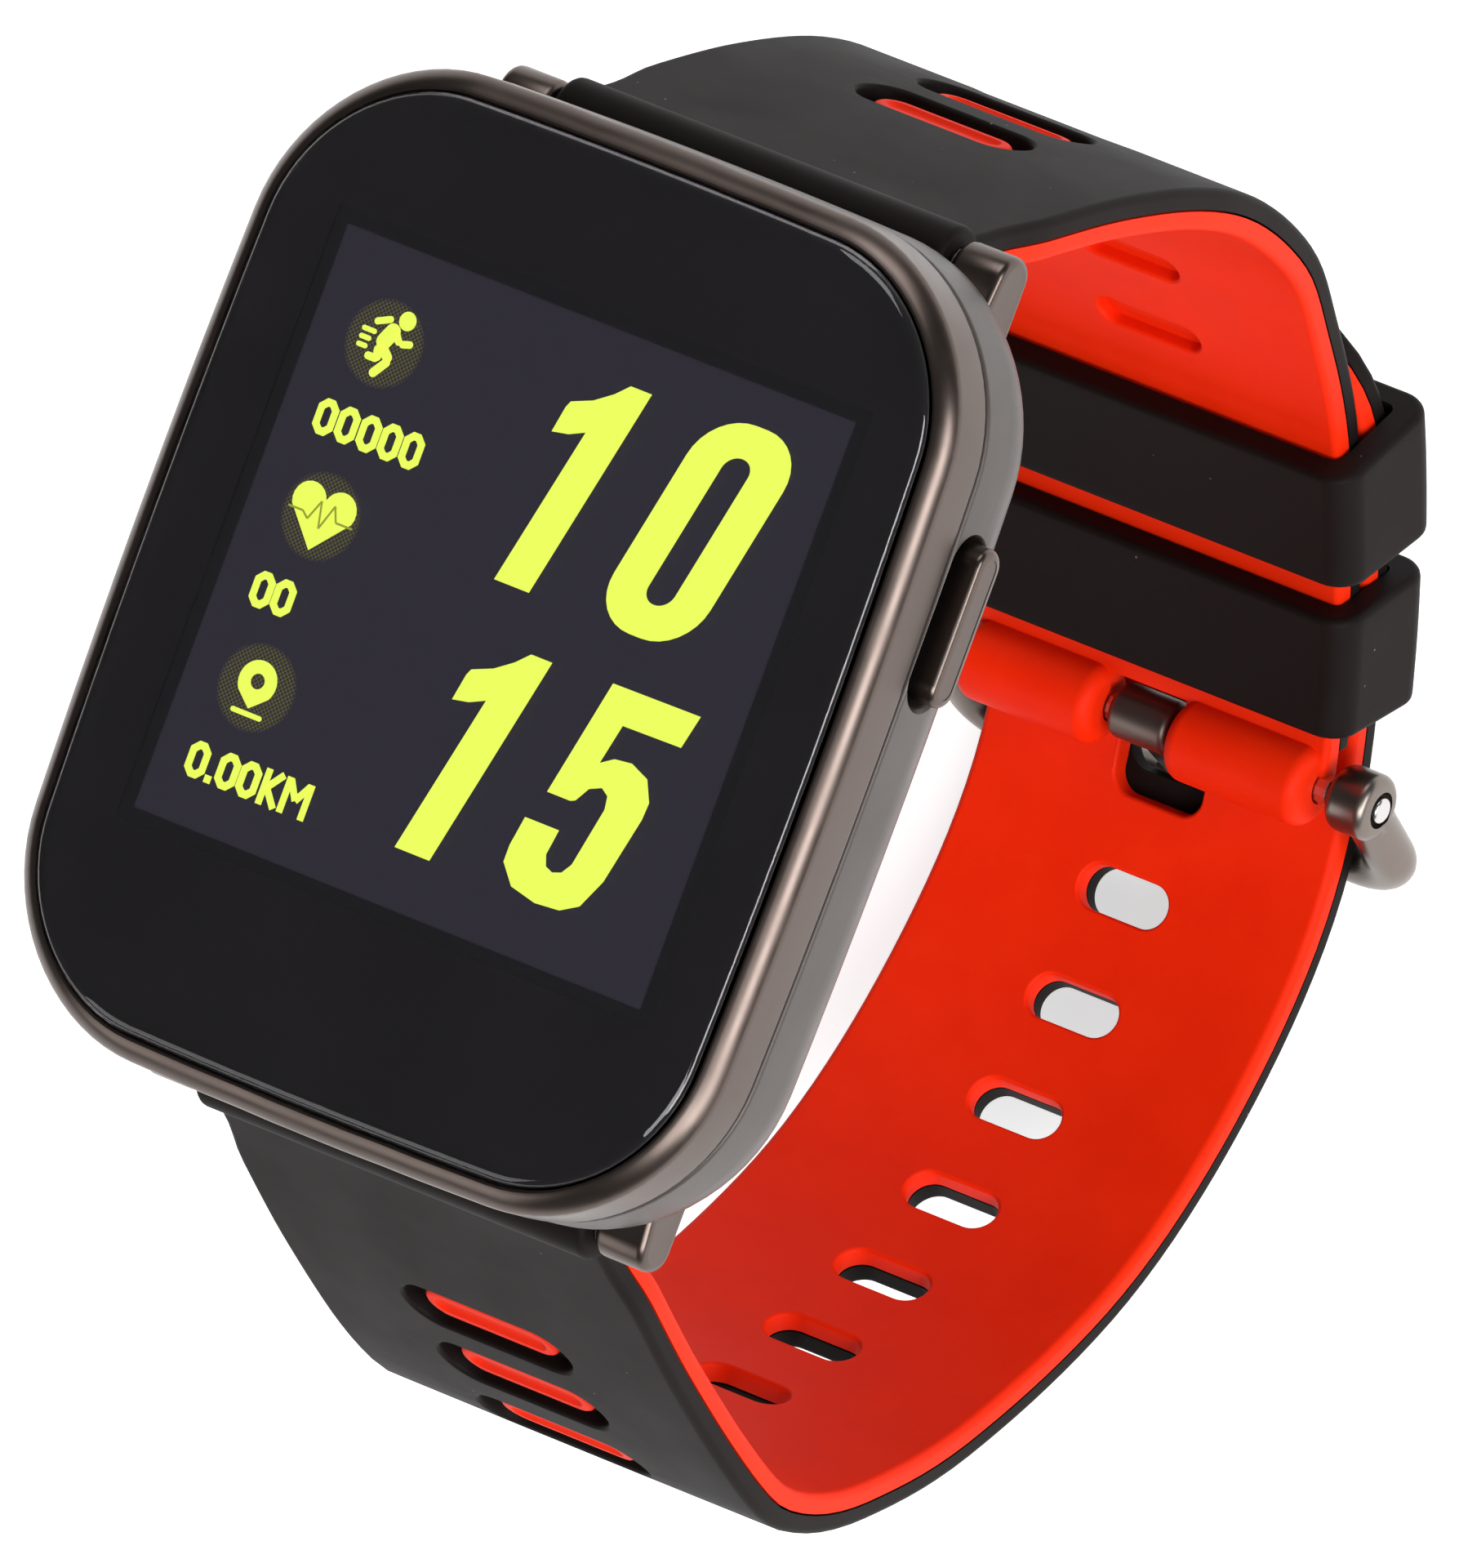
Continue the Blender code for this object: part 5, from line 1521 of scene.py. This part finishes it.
# %% Eyes of the buckle and its pin ends
for side in (-1, 1):
    cut(buckle, soft_rod("eye", (side * ARM_X, 0, 0), 1.6, 2.3, 0.55, 5), "UNION")
    cut(buckle, rod("eye_bore", (side * 13.0, 0, 0), 0.88, 1.4))
cut(buckle, block("tongue_notch", (-1.85, -0.6, 5.2), (1.85, 3.0, 9.0)))
edit(buckle)
pick_all()
bpy.ops.mesh.remove_doubles(threshold=0.003 * MM)
done()
lean_into_place(buckle, FRAME_TURN)
finish(buckle, "buckle_frame", BUCKLE_METAL, "buckle_frame", slot="gunmetal", angle=38)
pin_end = soft_rod("buckle_pin_end_right", (12.6, 0, 0), 0.62, 0.8, 0.18, 4)
pin_twin = copied(pin_end, -25.1, 0)
pin_twin.name = pin_twin.data.name = "buckle_pin_end_left"
for piece in (pin_end, pin_twin):
    lean_into_place(piece, FRAME_TURN)
    finish(piece, "buckle_frame", STEEL, slot="steel", angle=30)

# %% [markdown]
# The tongue is stamped from flat strip and curled round the bar. A block with a rounded tip and a
# bored knuckle say the same thing.

# %% Buckle tongue
tongue = block("buckle_prong", (-1.65, -0.45, 0.3), (1.65, 0.45, 8.75))
edit(tongue)
pick("edges", lambda e: (all(v.co.z > 8.7 * MM for v in e.verts)
                         and abs(e.verts[0].co.y - e.verts[1].co.y) > 0.5 * MM))
bevel(1.2, 6)
pick("edges", lambda e: e.calc_face_angle(0) > 1)
bevel(0.2, 3)
done()
cut(tongue, soft_rod("knuckle", (0, 0, 0), 1.33, 3.3, 0.4, 5), "UNION")
cut(tongue, rod("tongue_bore", (0, 0, 0), 0.80, 8.0))
lean_into_place(tongue, TONGUE_TURN)
finish(tongue, "buckle_tongue", TONGUE_METAL, "buckle_tongue", slot="gunmetal", angle=38)
bpy.data.objects.remove(strap_line, do_unlink=True)

# %% [markdown]
# ## Finishes of the ready-made pieces
# Screws, spring bars, contacts, seals and the back keep their ready-made shape. They only get the
# finishes made above.

# %% Dress the ready-made pieces
LOOKS = {
    "back_cover": BACK_PLASTIC, "sensor_window": SENSOR_GLASS, "back_gasket": SEAL_RUBBER,
    "button_seal": SEAL_RUBBER, "lens_gasket": SEAL_RUBBER, "battery": STEEL, "main_board": BACK_PLASTIC,
    "sensor_board": BACK_PLASTIC, "gps_antenna": CASE_PLASTIC, "vibration_motor": STEEL,
    "button_switch": BACK_PLASTIC, "button_clip": STEEL,
}
for name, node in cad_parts.items():
    if name in LOOKS:
        look = LOOKS[name]
    elif "screw" in name or "_bar_" in name:
        look = STEEL
    elif "contact" in name:
        look = GOLD
    else:
        continue
    dress(node, look)
print("ready-made pieces dressed")

# %% [markdown]
# ## Light and camera
# The watch floats on a pale floor in a white studio. A broad key light stands high on the right, a
# fill on the left, and a long strip makes the bright line along the bezel's shoulder. The place
# that the flat glass would mirror stays empty, so the glass stays dark.

# %% Floor, lights and camera
floor_mat, _, _ = new_finish("pale_floor", (0.90, 0.90, 0.90), 0.8, Emission_Color=(1.0, 1.0, 1.0, 1.0),
                             Emission_Strength=0.60)
FLOOR_Z = -58.6
bpy.ops.mesh.primitive_plane_add(size=4.0, location=(0, 0, FLOOR_Z * MM))
floor = bpy.context.object
floor.name = "floor"
floor.data.materials.append(floor_mat)
world = bpy.context.scene.world or bpy.data.worlds.new("studio")
bpy.context.scene.world = world
world.use_nodes = True
world.node_tree.nodes["Background"].inputs["Color"].default_value = (1.0, 1.0, 1.0, 1.0)
world.node_tree.nodes["Background"].inputs["Strength"].default_value = 0.10


def lamp(name, place, size, power, length=None):
    bpy.ops.object.light_add(type="AREA", location=place)
    light = bpy.context.object
    light.name = name
    light.data.size = size
    if length:
        light.data.shape = "RECTANGLE"
        light.data.size_y = length
    light.data.energy = power
    light.rotation_euler = (-Vector(place)).to_track_quat("-Z", "Y").to_euler()


lamp("key", (0.45, -0.30, 0.50), 0.35, 2.6)
lamp("fill", (-0.35, -0.55, 0.30), 0.40, 1.0)
lamp("back", (-0.10, 0.65, 0.45), 0.40, 2.0)
lamp("shoulder_strip", (0.62, -0.04, 0.34), 0.70, 4.2, length=0.16)

RIGHT, UP = Vector((0.8145, 0.3451, -0.4663)), Vector((-0.3242, 0.9374, 0.1275))
TOWARD = Vector((0.4811, 0.0474, 0.8754))
AIM = Vector((10.93, -2.42, 5.19)) * MM
AWAY = 1.933  # metres from the aim to the camera
bpy.ops.object.camera_add(location=AIM + TOWARD * AWAY)
camera = bpy.context.object
camera.data.lens = 1000
camera.data.sensor_width = 36
camera.data.clip_end = 20
camera.rotation_euler = Matrix((RIGHT, UP, TOWARD)).transposed().to_euler()
bpy.context.scene.camera = camera
bpy.context.scene.view_settings.view_transform = "Standard"
print("camera", [round(v, 3) for v in camera.location])
